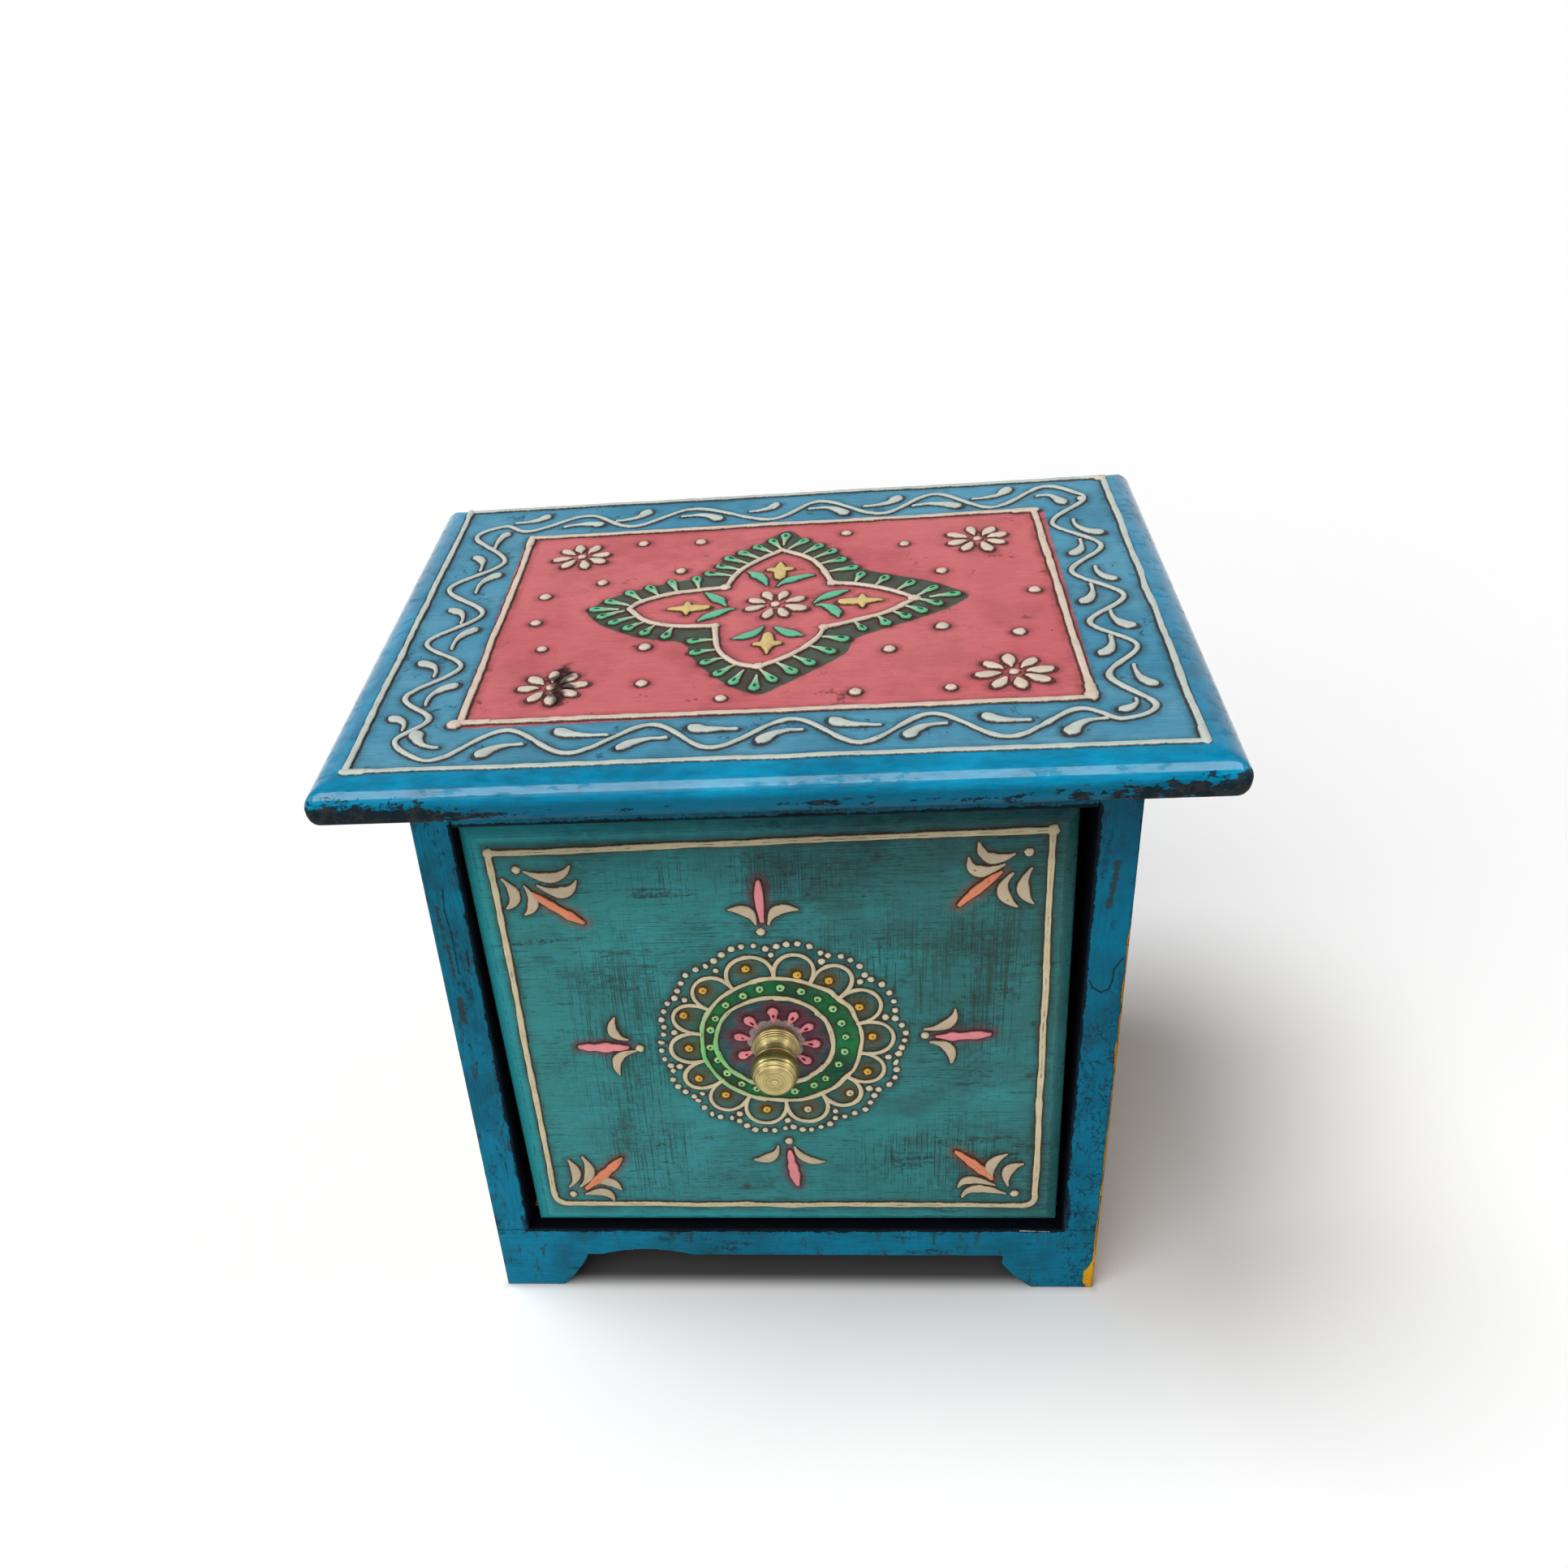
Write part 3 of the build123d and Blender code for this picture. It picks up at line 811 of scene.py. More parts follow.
def topArtwork():
    art = ConeWork(11)
    dx, dy = 1.0, -67.0

    def at(x, y):
        return (x + dx, y + dy)

    # two frames of straight lines, each side its own stroke with a blob where it starts
    outer = [at(-93.2, -9.8), at(91.2, -9.6), at(91.4, 144.0), at(-92.8, 144.6)]
    inner = [at(-70.9, 11.2), at(71.2, 11.2), at(69.9, 121.9), at(-70.6, 121.3)]
    for corners, half, tone in ((outer, 0.85, "frostCream"), (inner, 0.9, "cream")):
        for a, b in zip(corners, corners[1:] + corners[:1]):
            along = art.frameSide(a, b, half, tone, 0.14, 16, 0.55)
            if dice.random() < 0.75:
                end = np.array(a) + along * dice.uniform(3.5, 7)
                art.stroke(straightPath((a, end)), half * dice.uniform(1.2, 1.5), tone, height=0.7)
    art.dot(at(-72.0, 10.5), 2.1, "cream", height=0.8)
    art.dot(at(70.8, 12.6), 1.7, "cream", height=0.75)
    art.dot(at(90.6, 143.4), 1.9, "cream", height=0.8)

    # the vine, one line round the whole border
    vine = [(-77.9, -4.6), (-72, -4.8), (-59, 6.8), (-43.4, -4.8), (-26, 6.8), (-11.8, -4.8), (5.4, 6.8),
            (20.4, -4.8), (36, 6.8), (51.6, -4.8), (67, 6.3), (76, 1.2), (83.8, 7.1), (76, 21.6),
            (84.3, 36), (75.4, 49.3), (85.4, 63.8), (74.9, 79.3), (84.3, 95.4), (73.8, 111.6),
            (83.8, 127.2), (82.2, 133.5), (73.8, 138.8), (58.8, 125.5), (43.8, 138), (28.2, 125.5),
            (11.6, 137.5), (-2.9, 125.8), (-24.6, 137), (-41.8, 126.2), (-56, 136.3), (-71.8, 126.7),
            (-80, 131.6), (-87.3, 123.8), (-76, 104.9), (-88.4, 88.2), (-76.2, 71), (-87.7, 54.9),
            (-76.2, 40.4), (-86.8, 25.4), (-78.7, 13.8), (-84.6, 3.8)]
    art.stroke(smoothPath([at(*p) for p in vine], closed=True), 0.78, "frostCream", closed=True, height=0.5,
               shaky=0.12, pit=0.35)
    art.dot(at(83.4, 128.6), 1.3, "frostCream")

    # comma leaves: head, tail and how the line bends between them
    flatBend = [((-46.2, 4.9), (-35.7, 2.7)), ((-15.7, 4.3), (-6.8, 3.2)), ((15.4, 4.9), (24.7, 2.7)),
                ((48.2, 4.3), (56.6, 2.1)), ((-80.1, 6), (-74, -0.1)), ((-62.9, -3.4), (-54.6, -0.1)),
                ((-31.8, -2.9), (-22.3, 0.4)), ((-0.7, -1.8), (7.7, 1.8)), ((31, -1.8), (38.8, 2.1)),
                ((64.9, -2.9), (72.7, 1.6)), ((-69, 137), (-77, 133.5)), ((-39, 136), (-47, 131)),
                ((-1.5, 136.5), (-8.5, 132.5)), ((33, 136), (24, 131.5)), ((64, 138), (54.5, 132.5))]
    for head, tail in flatBend:
        bend = (head[0] + 0.28 * (tail[0] - head[0]), tail[1])
        art.comma(at(*head), at(*tail), at(*bend))
    arched = [((-52.5, 129.4), (-62, 128.6)), ((-18, 129.2), (-28, 131.5)), ((18, 128), (8.5, 132)),
              ((49, 128.5), (37.5, 130)), ((78, 127), (72, 132))]
    for head, tail in arched:
        bend = (head[0] + 0.35 * (tail[0] - head[0]), max(head[1], tail[1]) + 1.6)
        art.comma(at(*head), at(*tail), at(*bend))
    upright = [((-84.5, 109), (-82, 100)), ((-84.5, 74), (-81, 66)), ((-86, 43), (-82, 36)),
               ((-87, 14.5), (-84, 9)), ((-79, 125), (-80.5, 114)), ((-77, 95.5), (-80.5, 85)),
               ((-77, 61), (-80.5, 51)), ((-76.5, 30), (-81, 21)), ((77, 91), (79.5, 99.5)),
               ((76, 61.5), (78.5, 71)), ((76.5, 33), (79, 41.5)), ((77, 5.5), (80, 10)),
               ((84.5, 104), (79.5, 113.5)), ((84, 74), (81, 81.5)), ((84, 47), (81, 55)),
               ((84.5, 17), (82, 26))]
    for head, tail in upright:
        bend = (tail[0] - 0.15 * (head[0] - tail[0]), head[1] + 0.28 * (tail[1] - head[1]))
        art.comma(at(*head), at(*tail), at(*bend), half=1.65)

    # eight-petal flowers
    for x, y, reach, turn in ((-54.2, 105.7, 8.2, 10), (53.2, 103.8, 8.3, 15), (-51.8, 27.1, 8.3, 6),
                              (55.4, 25.1, 8.6, 8), (0.2, 68.2, 8.2, 24)):
        for k in range(8):
            angle = math.radians(45 * k + turn + dice.uniform(-6, 6))
            ray = np.array((math.cos(angle), math.sin(angle)))
            middle, far = np.array(at(x, y)), reach * dice.uniform(0.92, 1.04)
            art.petal(middle + ray * 3.2, middle + ray * (far - 1.3), 1.6 * dice.uniform(0.9, 1.1), "cream")
        art.dot(at(x, y), 1.35, "cream", pit=0.9)

    # the four-lobed outline, one stroke from each tip to each notch
    lobes = [(1.3, 103), (8.2, 97), (11.8, 90), (14.6, 79.5), (21.5, 77.7), (29.3, 73.3), (35.4, 67.8),
             (28.4, 60.6), (19.5, 56), (12.6, 53.2), (10.6, 47), (5, 39.2), (-3, 33), (-8.6, 36), (-13, 43.5),
             (-14.6, 57), (-23, 57.6), (-31.8, 61.2), (-37.3, 69.4), (-34.6, 73.6), (-26, 78), (-12.9, 80),
             (-10.3, 89), (-5.4, 96.4), (1.3, 103)]
    loop = [smoothPath([at(*p) for p in lobes[k:k + 4]]) for k in range(0, len(lobes) - 1, 3)]
    for path in loop:
        art.stroke(path, 0.85, "cream", height=0.6, pit=0.5)
    for x, y, radius in ((14.6, 79.6, 1.5), (-13.2, 80.2, 1.8), (35, 67.8, 1.9), (-14.5, 57, 1.3),
                         (12.5, 53.2, 1.5), (-3, 33.6, 1.6)):
        art.dot(at(x, y), radius, "cream", height=0.7, pit=0.2)

    def dropTint(path):
        # green at the head, nearly white where the drop runs out
        share = unit(np.linspace(-0.5, 1.35, len(path)))
        return np.outer(1 - share, shade("dropGreen")) + np.outer(share, shade("dropTail"))

    # green drops that point in to the outline
    loop = np.vstack(loop)
    heads = [(2, 113), (7, 108.5), (11, 104.5), (14.6, 100.3), (16.8, 94.5), (20, 88.8), (22, 84), (28, 81),
             (34.5, 77.4), (40, 73.6), (45, 69.2), (40.5, 64.2), (36.5, 60.6), (32.5, 57.6), (27.5, 54.4),
             (21.8, 51.8), (17, 46.4), (14, 40), (9.2, 34.4), (5, 30.4), (0.6, 26.6), (-3.5, 23),
             (-8.5, 26.3), (-12.2, 31), (-15.6, 37), (-18.4, 42.6), (-19.4, 49), (-26.5, 52.6), (-32, 55.2),
             (-36.4, 58.4), (-40.6, 62), (-44, 65.8), (-46.3, 70.4), (-43, 74.8), (-38, 79.4), (-33, 82.2),
             (-27.5, 85), (-21, 86.6), (-17.6, 89.6), (-15, 94), (-12.8, 99), (-9.3, 102.4), (-5.4, 105.8),
             (-1.4, 109.6)]
    for head in heads:
        head = np.array(at(*head))
        nearest = loop[np.argmin(np.hypot(*(loop - head).T))]
        inward = nearest - head
        inward = inward / np.hypot(*inward) * min(np.hypot(*inward) - 1.0, 6.0)
        path = straightPath((head, head + inward), 0.4)
        share = np.linspace(0, 1, len(path))
        art.stroke(path, 0.38 + 1.15 * (1 - share) ** 1.5, dropTint, height=0.5, pit=0.5, shaky=0.06)
        art.stroke(path[:5], (0.5, 0.5, 0.44, 0.36, 0.26), "dropCore", height=0.86, pit=0.0)

    # yellow buds that point outwards, with a pair of leaves each
    for x, y, turn in ((1, 89.9, 0), (22.1, 67.7, 90), (-1.2, 45.4, 180), (-22.3, 68.2, 270)):
        body = np.array(at(x, y))
        ray = np.array((round(math.sin(math.radians(turn))), round(math.cos(math.radians(turn)))))
        side = ray[::-1]
        for way, far, near, wide in ((ray, 4.9, 4.6, (0.3, 0.9, 1.7, 1.9, 1.7, 1.5)),
                                     (side, 2.9, 2.9, (0.7, 1.3, 1.5, 1.3, 0.7))):
            path = evenly(np.array((body + way * far, body - way * near)), 0.5)
            spread = np.interp(np.linspace(0, 1, len(path)), np.linspace(0, 1, len(wide)), wide)
            art.stroke(path, spread, "butter", height=0.6, pit=0.15, shaky=0.06)
    leaves = [((-2.4, 80.6), (-3.2, 86), (-7.4, 89.4)), ((0.6, 79.6), (3.4, 84.4), (9.6, 85.2)),
              ((10.2, 68.2), (13, 72.6), (18.4, 74.4)), ((10.6, 66.6), (15.4, 66), (16, 59.2)),
              ((-2.6, 55), (-4.4, 50.4), (-9.6, 49.4)), ((0.6, 54.6), (3.4, 50.8), (7.2, 49.4)),
              ((-12.4, 68.8), (-14.6, 73.6), (-18, 77.2)), ((-10.4, 66.6), (-14.4, 65.6), (-18.8, 60.6))]
    for root, bend, tip in leaves:
        art.leaf(at(*root), at(*bend), at(*tip), 1.75, "leafGreen")

    # dots over the red
    for x, y in ((-37.6, 112.9), (-21.4, 111.9), (18.7, 112.6), (34, 103), (-25.6, 92.3), (-46.3, 87.2),
                 (-60.7, 79.9), (-61, 63.7), (-57.1, 48.2), (-31.2, 46.8), (-30.1, 27.3), (-11, 18.1),
                 (19.6, 18.6), (41, 18.8), (27.9, 39.7), (40.9, 51), (58.7, 45.9), (64.7, 69.4),
                 (42.7, 84)):
        art.dot(at(x, y), dice.uniform(1.45, 1.8), "cream", height=0.65, pit=0.9)

    ogee = [(2.4, 117), (7.2, 110.6), (12.9, 104.8), (17, 99), (19.4, 94.2), (22.8, 88.2), (29.4, 83.8),
            (39.3, 78.4), (45, 73), (48.4, 68.2), (45.6, 64), (41.4, 60.2), (33.8, 55.2), (26, 50.6),
            (20, 46.2), (17.6, 39), (11.6, 32.2), (2.8, 23.6), (-2.4, 19.6), (-8.6, 23.6), (-15.2, 32.4),
            (-19.4, 40.6), (-22.2, 48.4), (-32.9, 52.4), (-41.9, 59), (-45.6, 63.6), (-48.6, 69.9),
            (-46, 73.8), (-41.8, 78.4), (-32.9, 83.4), (-21.9, 87.4), (-16.8, 91.4), (-14.4, 99.4),
            (-9.4, 104.4), (-4.6, 109)]
    return art, loop, smoothPath([at(*p) for p in ogee], closed=True, step=0.5)


def topMaterial():
    # the thick gloss on the moulding is a coat, and it is patchy
    fixed = {"Specular IOR Level": 0.015, "Coat Roughness": 0.035, "Coat IOR": 1.17}
    material, shader, place = newMaterial("paintedTop", fixed)
    along = (0.12, 2.0, 1.0)
    band = coat(place, ("sky", "skyPale", "skyGrime"), along, 0.5, 0.3, 1.0)
    field = coat(place, ("red", "redPale", "plum"), along, 0.36, 0.2, 2.0)
    ground = coat(place, ("leafGround", "leafGroundPale", "coneBrown"), along, 0.2, 0.1, 3.0)
    nose = coat(place, ("nose", "nosePale", "chipBlack"), (0.15, 0.15, 1.2), 0.14, 0.1, 4.0,
                (0.5, 0.5, 1.5))
    shaky = cloud(place, 0.5, 3.0, 0.6, 5.0) - 0.5
    onRed = ramp(attribute(material, "redEdge") + shaky, 0.12, -0.12)
    onLeaf = ramp(attribute(material, "leafEdge") + shaky * 0.5, 0.2, -0.2)
    onNose = ramp(attribute(material, "rim") + shaky * 0.4, 8.0, 7.3)
    around = useGroup(strokeWash, place=place, gap=attribute(material, "gap"), line=0.68, reach=2.7, seed=6.0)
    stain = addNode(material.node_tree, "ShaderNodeAttribute", attribute_name="stain")
    # painted shade: the underside of the moulding is painted a deeper blue, and darker still down towards the
    # quirk
    up = split(place)[2] + shaky * 1.2
    lower = layered(nose["Colour"], (ramp(up, 174.8, 172.6, 0.0, 0.86), "noseDeep"),
                    (ramp(up, 170.8, 169.4, 0.0, 0.5), "skyGrime"))
    wear = attribute(material, "wear")
    worn = most(rubbed(stretched(place, (0.8, 1.0, 1.9)), wear, 0.0, 3.2, 7.0),
                rubbed(stretched(place, (2.2, 2.2, 2.6)), wear, -0.5, 3.4, 9.0))
    chips = mixColour(ramp(cloud(place, 0.5, 4.0, 0.6, 9.0), 0.45, 0.6), "chipBlack", "chipBrown")
    colour = layered(band["Colour"], (onRed, field["Colour"]), (onLeaf, ground["Colour"]),
                     (around["Wash"] * 0.62, mixColour(onRed, "skyGrime", "plum")),
                     (around["Line"] * 0.8, "coneBrown"), (stain["Alpha"], stain["Color"]),
                     (onNose, lower), (worn * 0.92, chips))
    rough = ramp(onNose, 0.0, 1.0, 0.42, 0.13) + worn * 0.3
    rough = rough + ramp(cloud(place, 0.3, 4.0), 0.3, 0.7, -0.04, 0.08)
    gloss = ramp(cloud(stretched(place, (0.5, 1.0, 1.4)), 0.4, 6.0, 0.7, 10.0), 0.41, 0.47, 0.25, 1.0)
    plug(gloss * onNose * (1.0 - worn), shader.inputs["Coat Weight"])
    lumps = cloud(stretched(place, (0.5, 0.7, 1.0)), 0.62, 3.0, 0.56, 8.0)
    rippled = ramp(split(place)[0], -52.0, -92.0, 0.5, 1.15)
    height = band["Height"] * 0.35 + lumps * onNose * rippled - worn * 0.8
    return finishMaterial(material, shader, colour, rough, height, 0.00022)


def coneMaterial(name, seed):
    # thick cone paint: brown at its foot, cracked and pitted along its crest
    material, shader, place = newMaterial(name)
    across, pit = abs(attribute(material, "across")), attribute(material, "pit")
    tint = attribute(material, "tint", "Color")
    slow = cloud(place, 0.25, 3.0, 0.6, seed)
    fine = cloud(place, 1.3, 4.0, 0.6, seed + 1)
    foot = ramp(across + (fine - 0.5) * 0.35, 0.78, 1.0)
    crest = ramp(across + fine * 0.4, 0.42, 0.2)
    crack = crest * ramp(cloud(place, 0.42, 3.0, 0.6, seed + 2), 0.74 - pit * 0.3, 0.72)
    colour = layered(tint, (ramp(slow, 0.35, 0.75, 0.0, 0.34), mixColour(0.5, tint, "coneBrown")),
                     (foot * 0.9, "coneBrown"), (crack * 0.8, "coneBrown"))
    rough = ramp(fine, 0.3, 0.7, 0.3, 0.5)
    return finishMaterial(material, shader, colour, rough, fine * 0.5 - crack, 0.0002)


def buildTop():
    xs, ys = noseLines(topBoard["halfWidth"]), noseLines(topBoard["halfDepth"])
    x, y = (g.ravel() for g in np.meshgrid(xs, ys))
    radius = topBoard["cornerRadius"]
    cornerX, cornerY = topBoard["halfWidth"] - radius, topBoard["halfDepth"] - radius
    a, b = (np.abs(x) - cornerX) / radius, (np.abs(y) - cornerY) / radius

    def pressed(at, edge, own, other):
        # the square corner becomes a quarter disc
        reach = edge + radius * own * np.sqrt(np.maximum(0, 1 - other ** 2 / 2))
        return np.where((own > 0) & (other > 0), np.sign(at) * reach, at)

    x, y = pressed(x, cornerX, a, b), pressed(y, cornerY, b, a)
    z = topHeight(x, y)
    rim = sheetRim(len(xs), len(ys))
    rings = []
    for turn in np.radians((22, 45, 68, 90)):
        inset = topBoard["underRun"] * (1 - math.cos(turn))
        low = topBoard["widest"] - (topBoard["widest"] - topBoard["under"]) * math.sin(turn)
        lowX = x[rim] * (1 - inset / topBoard["halfWidth"])
        lowY = y[rim] * (1 - inset / topBoard["halfDepth"])
        rings.append(np.column_stack((lowX, lowY, np.full(len(rim), low))))
    points, faces = closeUnder(np.column_stack((x, y, z)), gridFaces(len(xs), len(ys)), rim, rings)
    points = np.array(points)
    places = points[:, :2]

    art, loop, ogee = topArtwork()
    gap = art.gapFrom(places)
    px, py = places[:, 0], places[:, 1]
    low = np.interp(px, (-70, -20, 20, 70), (-58.4, -57.4, -56.6, -56.4))
    redEdge = np.maximum.reduce((topBoard["redLeft"] - px, px - topBoard["redRight"], low - py,
                                 py - topBoard["redBack"]))
    leafEdge = np.maximum(signedReach(places, ogee), -signedReach(places, loop))
    stain = np.zeros((len(points), 4))
    ragged = art.random.normal(0, 0.12, len(points))

    def smear(u, v):
        # a dark smear across the flower at the front left
        middle = -48.6 + 0.5 * np.sin(v * 0.9) + 0.4 * np.sin(v * 2.3)
        away = np.hypot((u - middle) / (2.5 + 0.8 * np.sin(v * 1.4 + 1)), (v + 38.5) / 12.5)
        return 0.9 * unit((1.05 - away) / 0.3)

    layStainAndShade(stain, unit(smear(px, py) * (1 + ragged)), "smear")
    art.soil(smear, "smear")
    for sx, sy, reach in ((-68.5, -28.6, 1.3), (69.4, 13.5, 1.2), (-69, -51, 0.9), (62, -13, 1.1),
                          (-67, -54.6, 0.8)):
        away = np.hypot((px - sx) / 1.3, py - sy) / reach
        layStainAndShade(stain, 0.6 * unit((1 + ragged * 2 - away) / 0.5), "plum")
    # rubbed patches: where the number is below zero the paint is gone
    front = unit((-py - 76) / 6)
    line = np.abs(points[:, 2] - topBoard["rubbedLine"]) / 2.1 * 0.8
    ends = np.interp(px, (-101, -80, -66, -56, -20, 0, 16, 30, 52, 60, 66, 86, 101),
                     (-1.3, -1.1, -0.5, 0.25, 0.3, 0.5, -0.1, 0.3, -0.15, 0.3, -0.2, -0.7, -1.0))
    wear = np.where(front > 0, line + ends + (1 - front) * 3, 1.0 + line)
    floats = {"gap": gap, "rim": topPlace(px, py), "redEdge": redEdge, "leafEdge": leafEdge, "wear": wear}
    painted = addPiece("topBoardPainted", points, faces, topMaterial(), "case", ["top_board"],
                       floats=floats, colours={"stain": stain})
    mouldings.objects.link(painted)

    def lay(u, v, lift):
        return np.column_stack((u, v, topHeight(u, v) + lift))

    art.piece("topConeWork", lay, coneMaterial("topCone", 21.0), "case", "painted_top")


buildTop()
print("stage: painted top")


# The drawer's front

drawerFront = {"halfWidth": 71.1, "halfHeight": 66.1, "middle": 89.7, "face": -65.3, "back": -55.8,
               "bevelWidth": 3.0, "bevelDepth": 2.2, "lean": 1.1, "leftExtra": 0.8, "cell": 0.7,
               "fineEdge": 3.8, "edgeSteps": (0.0, 0.12, 0.32, 0.6, 1.1, 1.7, 2.3, 2.7, 3.0, 3.3),
               "sideSteps": (-62.2, -60.5, -58.2, -56.2)}
# rings: the middle (x and z), half the width and half the height; scallops and beads: where they start
# and how far they swing out
mandala = {"middle": (-0.8, 89.4), "innerRing": (-1.4, 89.4, 14.9, 14.2),
           "outerRing": (0.3, 89.6, 20.3, 20.1), "scallops": (20.3, 7.6), "beads": (27.4, 3.6),
           "dotRing": (-0.4, 89.5, 17.1), "drops": (9.5, 6.7)}


def drawerArtwork():
    art = ConeWork(23)
    cx, cz = mandala["middle"]
    bone = "boneCream"

    # border: a rounded corner at each lower end, blobs at the upper ones
    corners = {"low left": (-64.9, 31.8), "low right": (66.0, 30.9), "high right": (64.1, 150.4),
               "high left": (-66.2, 148.6)}
    lowLeft, lowRight, highRight, highLeft = corners.values()
    sides = [((-60.6, 31.8), (62.2, 30.9)), ((65.9, 34.6), highRight), (highRight, highLeft),
             (highLeft, (-64.9, 35.8))]
    for a, b in sides:
        art.frameSide(a, b, 0.85, bone, 0.13, 18, 1.0, pinned=True)
    art.stroke(curvedPath(sides[0][0], lowLeft, sides[3][1]), 0.95, bone, profile="double", pit=0.8)
    art.stroke(curvedPath(sides[0][1], lowRight, sides[1][0]), 0.9, bone, profile="double", pit=0.8)
    art.dot(highRight, 1.7, bone, height=0.7, pit=0.3)
    art.dot(highLeft, 1.5, bone, height=0.7, pit=0.3)

    def ringTint(path):
        # the ring lines took green paint on their left
        angle = np.degrees(np.arctan2(path[:, 1] - cz, path[:, 0] - cx)) % 360
        green = unit(1 - np.abs(angle - 195) / 62) ** 0.6
        return np.outer(1 - green, shade(bone)) + np.outer(green, shade("edgeGreen"))

    # each ring is laid in a few arcs that overlap a little
    for x, z, wide, high in (mandala["innerRing"], mandala["outerRing"]):
        starts = np.sort(art.random.uniform(0, 2 * math.pi, 6))
        for start, end in zip(starts, np.append(starts[1:], starts[0] + 2 * math.pi)):
            turn = np.linspace(start, end + 0.08, max(6, int((end - start) * wide / 1.2)))
            reach = 1 + art.unsteady(len(turn), 0.011, 3)
            arc = np.column_stack((x + wide * reach * np.cos(turn), z + high * reach * np.sin(turn)))
            art.stroke(smoothPath(arc, step=0.5), 0.64, ringTint, height=0.5, pit=0.7, shaky=0.16)

    # scallops round the outer ring, each with a dot
    seeds = [(-7.3, 112.8), (5.2, 110.6), (12.8, 108.6), (20.1, 100.2), (23.2, 90.7), (21.9, 79.1),
             (17.3, 71.9), (6.3, 66.4), (-4.4, 66.4), (-14.8, 71.7), (-21.4, 77.4), (-23.2, 87.6),
             (-23.8, 98.4), (-18.4, 106.3)]
    ringX, ringZ = mandala["outerRing"][:2]
    angles = [math.degrees(math.atan2(z - ringZ, x - ringX)) for x, z in seeds]
    for k, (angle, (x, z)) in enumerate(zip(angles, seeds)):
        before, after = angles[k - 1], angles[(k + 1) % len(angles)]
        start = angle + ((before - angle + 180) % 360 - 180) / 2
        end = angle + ((after - angle + 180) % 360 - 180) / 2
        share = np.linspace(0, math.pi, 40)
        sweep = np.radians((start + end) / 2 + (start - end) / 2 * np.cos(share))
        uneven = dice.uniform(-0.4, 0.5)
        for (base, rise), beads in ((mandala["scallops"], False), (mandala["beads"], True)):
            rise = rise if beads else rise + uneven
            reach = base + rise * np.sin(share) ** (0.75 if beads else 0.9)
            line = np.column_stack((ringX + reach * np.cos(sweep), ringZ + reach * np.sin(sweep)))
            if not beads:
                art.stroke(evenly(line, 0.6), 0.58, bone, height=0.5, pit=0.4)
                continue
            length = np.hypot(*np.diff(line, axis=0).T).sum()
            count = max(4, int(round(length / 2.75)))
            for u, v in evenly(line, length / count)[:count]:
                off = art.random.normal(0, 0.17, 2)
                if art.random.random() < 0.07:
                    path = straightPath(((u, v), (u + off[0] * 3, v + off[1] * 3)), 0.4)
                    art.stroke(path, 0.62, "beadCream", height=0.45, pit=0.3)
                else:
                    art.dot((u + off[0], v + off[1]), art.random.uniform(0.76, 1.0), "beadCream",
                            height=0.45, pit=0.3)
        tone = "boneCream" if k in (6, 7) else "amber"
        art.dot((x, z), 1.15, tone, height=0.5, pit=0.5, glow=("amberGlow", 3.7, 0.95))
        art.dot((x + 0.1, z + 0.2), 0.34, "mangoPore", height=0.66, pit=0)

    # green dots between the rings, pink drops round the knob
    for k in range(22):
        angle = math.radians(360 / 22 * k + 4 + dice.uniform(-2, 2))
        dotX, dotZ, reach = mandala["dotRing"]
        reach += dice.uniform(-0.3, 0.3)
        at = (dotX + reach * math.cos(angle), dotZ + reach * math.sin(angle))
        art.dot(at, dice.uniform(0.98, 1.2), "dotGreen", height=0.5, pit=0.3)
        art.dot((at[0] + dice.uniform(-0.14, 0.14), at[1] + 0.14), 0.46, "ringGreen", height=0.72, pit=0)
    for angle in (93, 61, 30, -4, -40, -76, -115, -154, 169, 133):
        ray = np.array((math.cos(math.radians(angle)), math.sin(math.radians(angle))))
        path = straightPath([np.array((cx, cz)) + ray * reach for reach in mandala["drops"]], 0.4)
        share = np.linspace(0, 1, len(path))
        art.stroke(path, 0.5 + 0.95 * (1 - share) ** 1.1, "pink", height=0.55, pit=0.3,
                   glow=("pinkGlow", 2.8, 0.8))
        art.stroke(path[1:5], (0.4, 0.5, 0.42, 0.26), "pinkCore", height=0.92, pit=0)

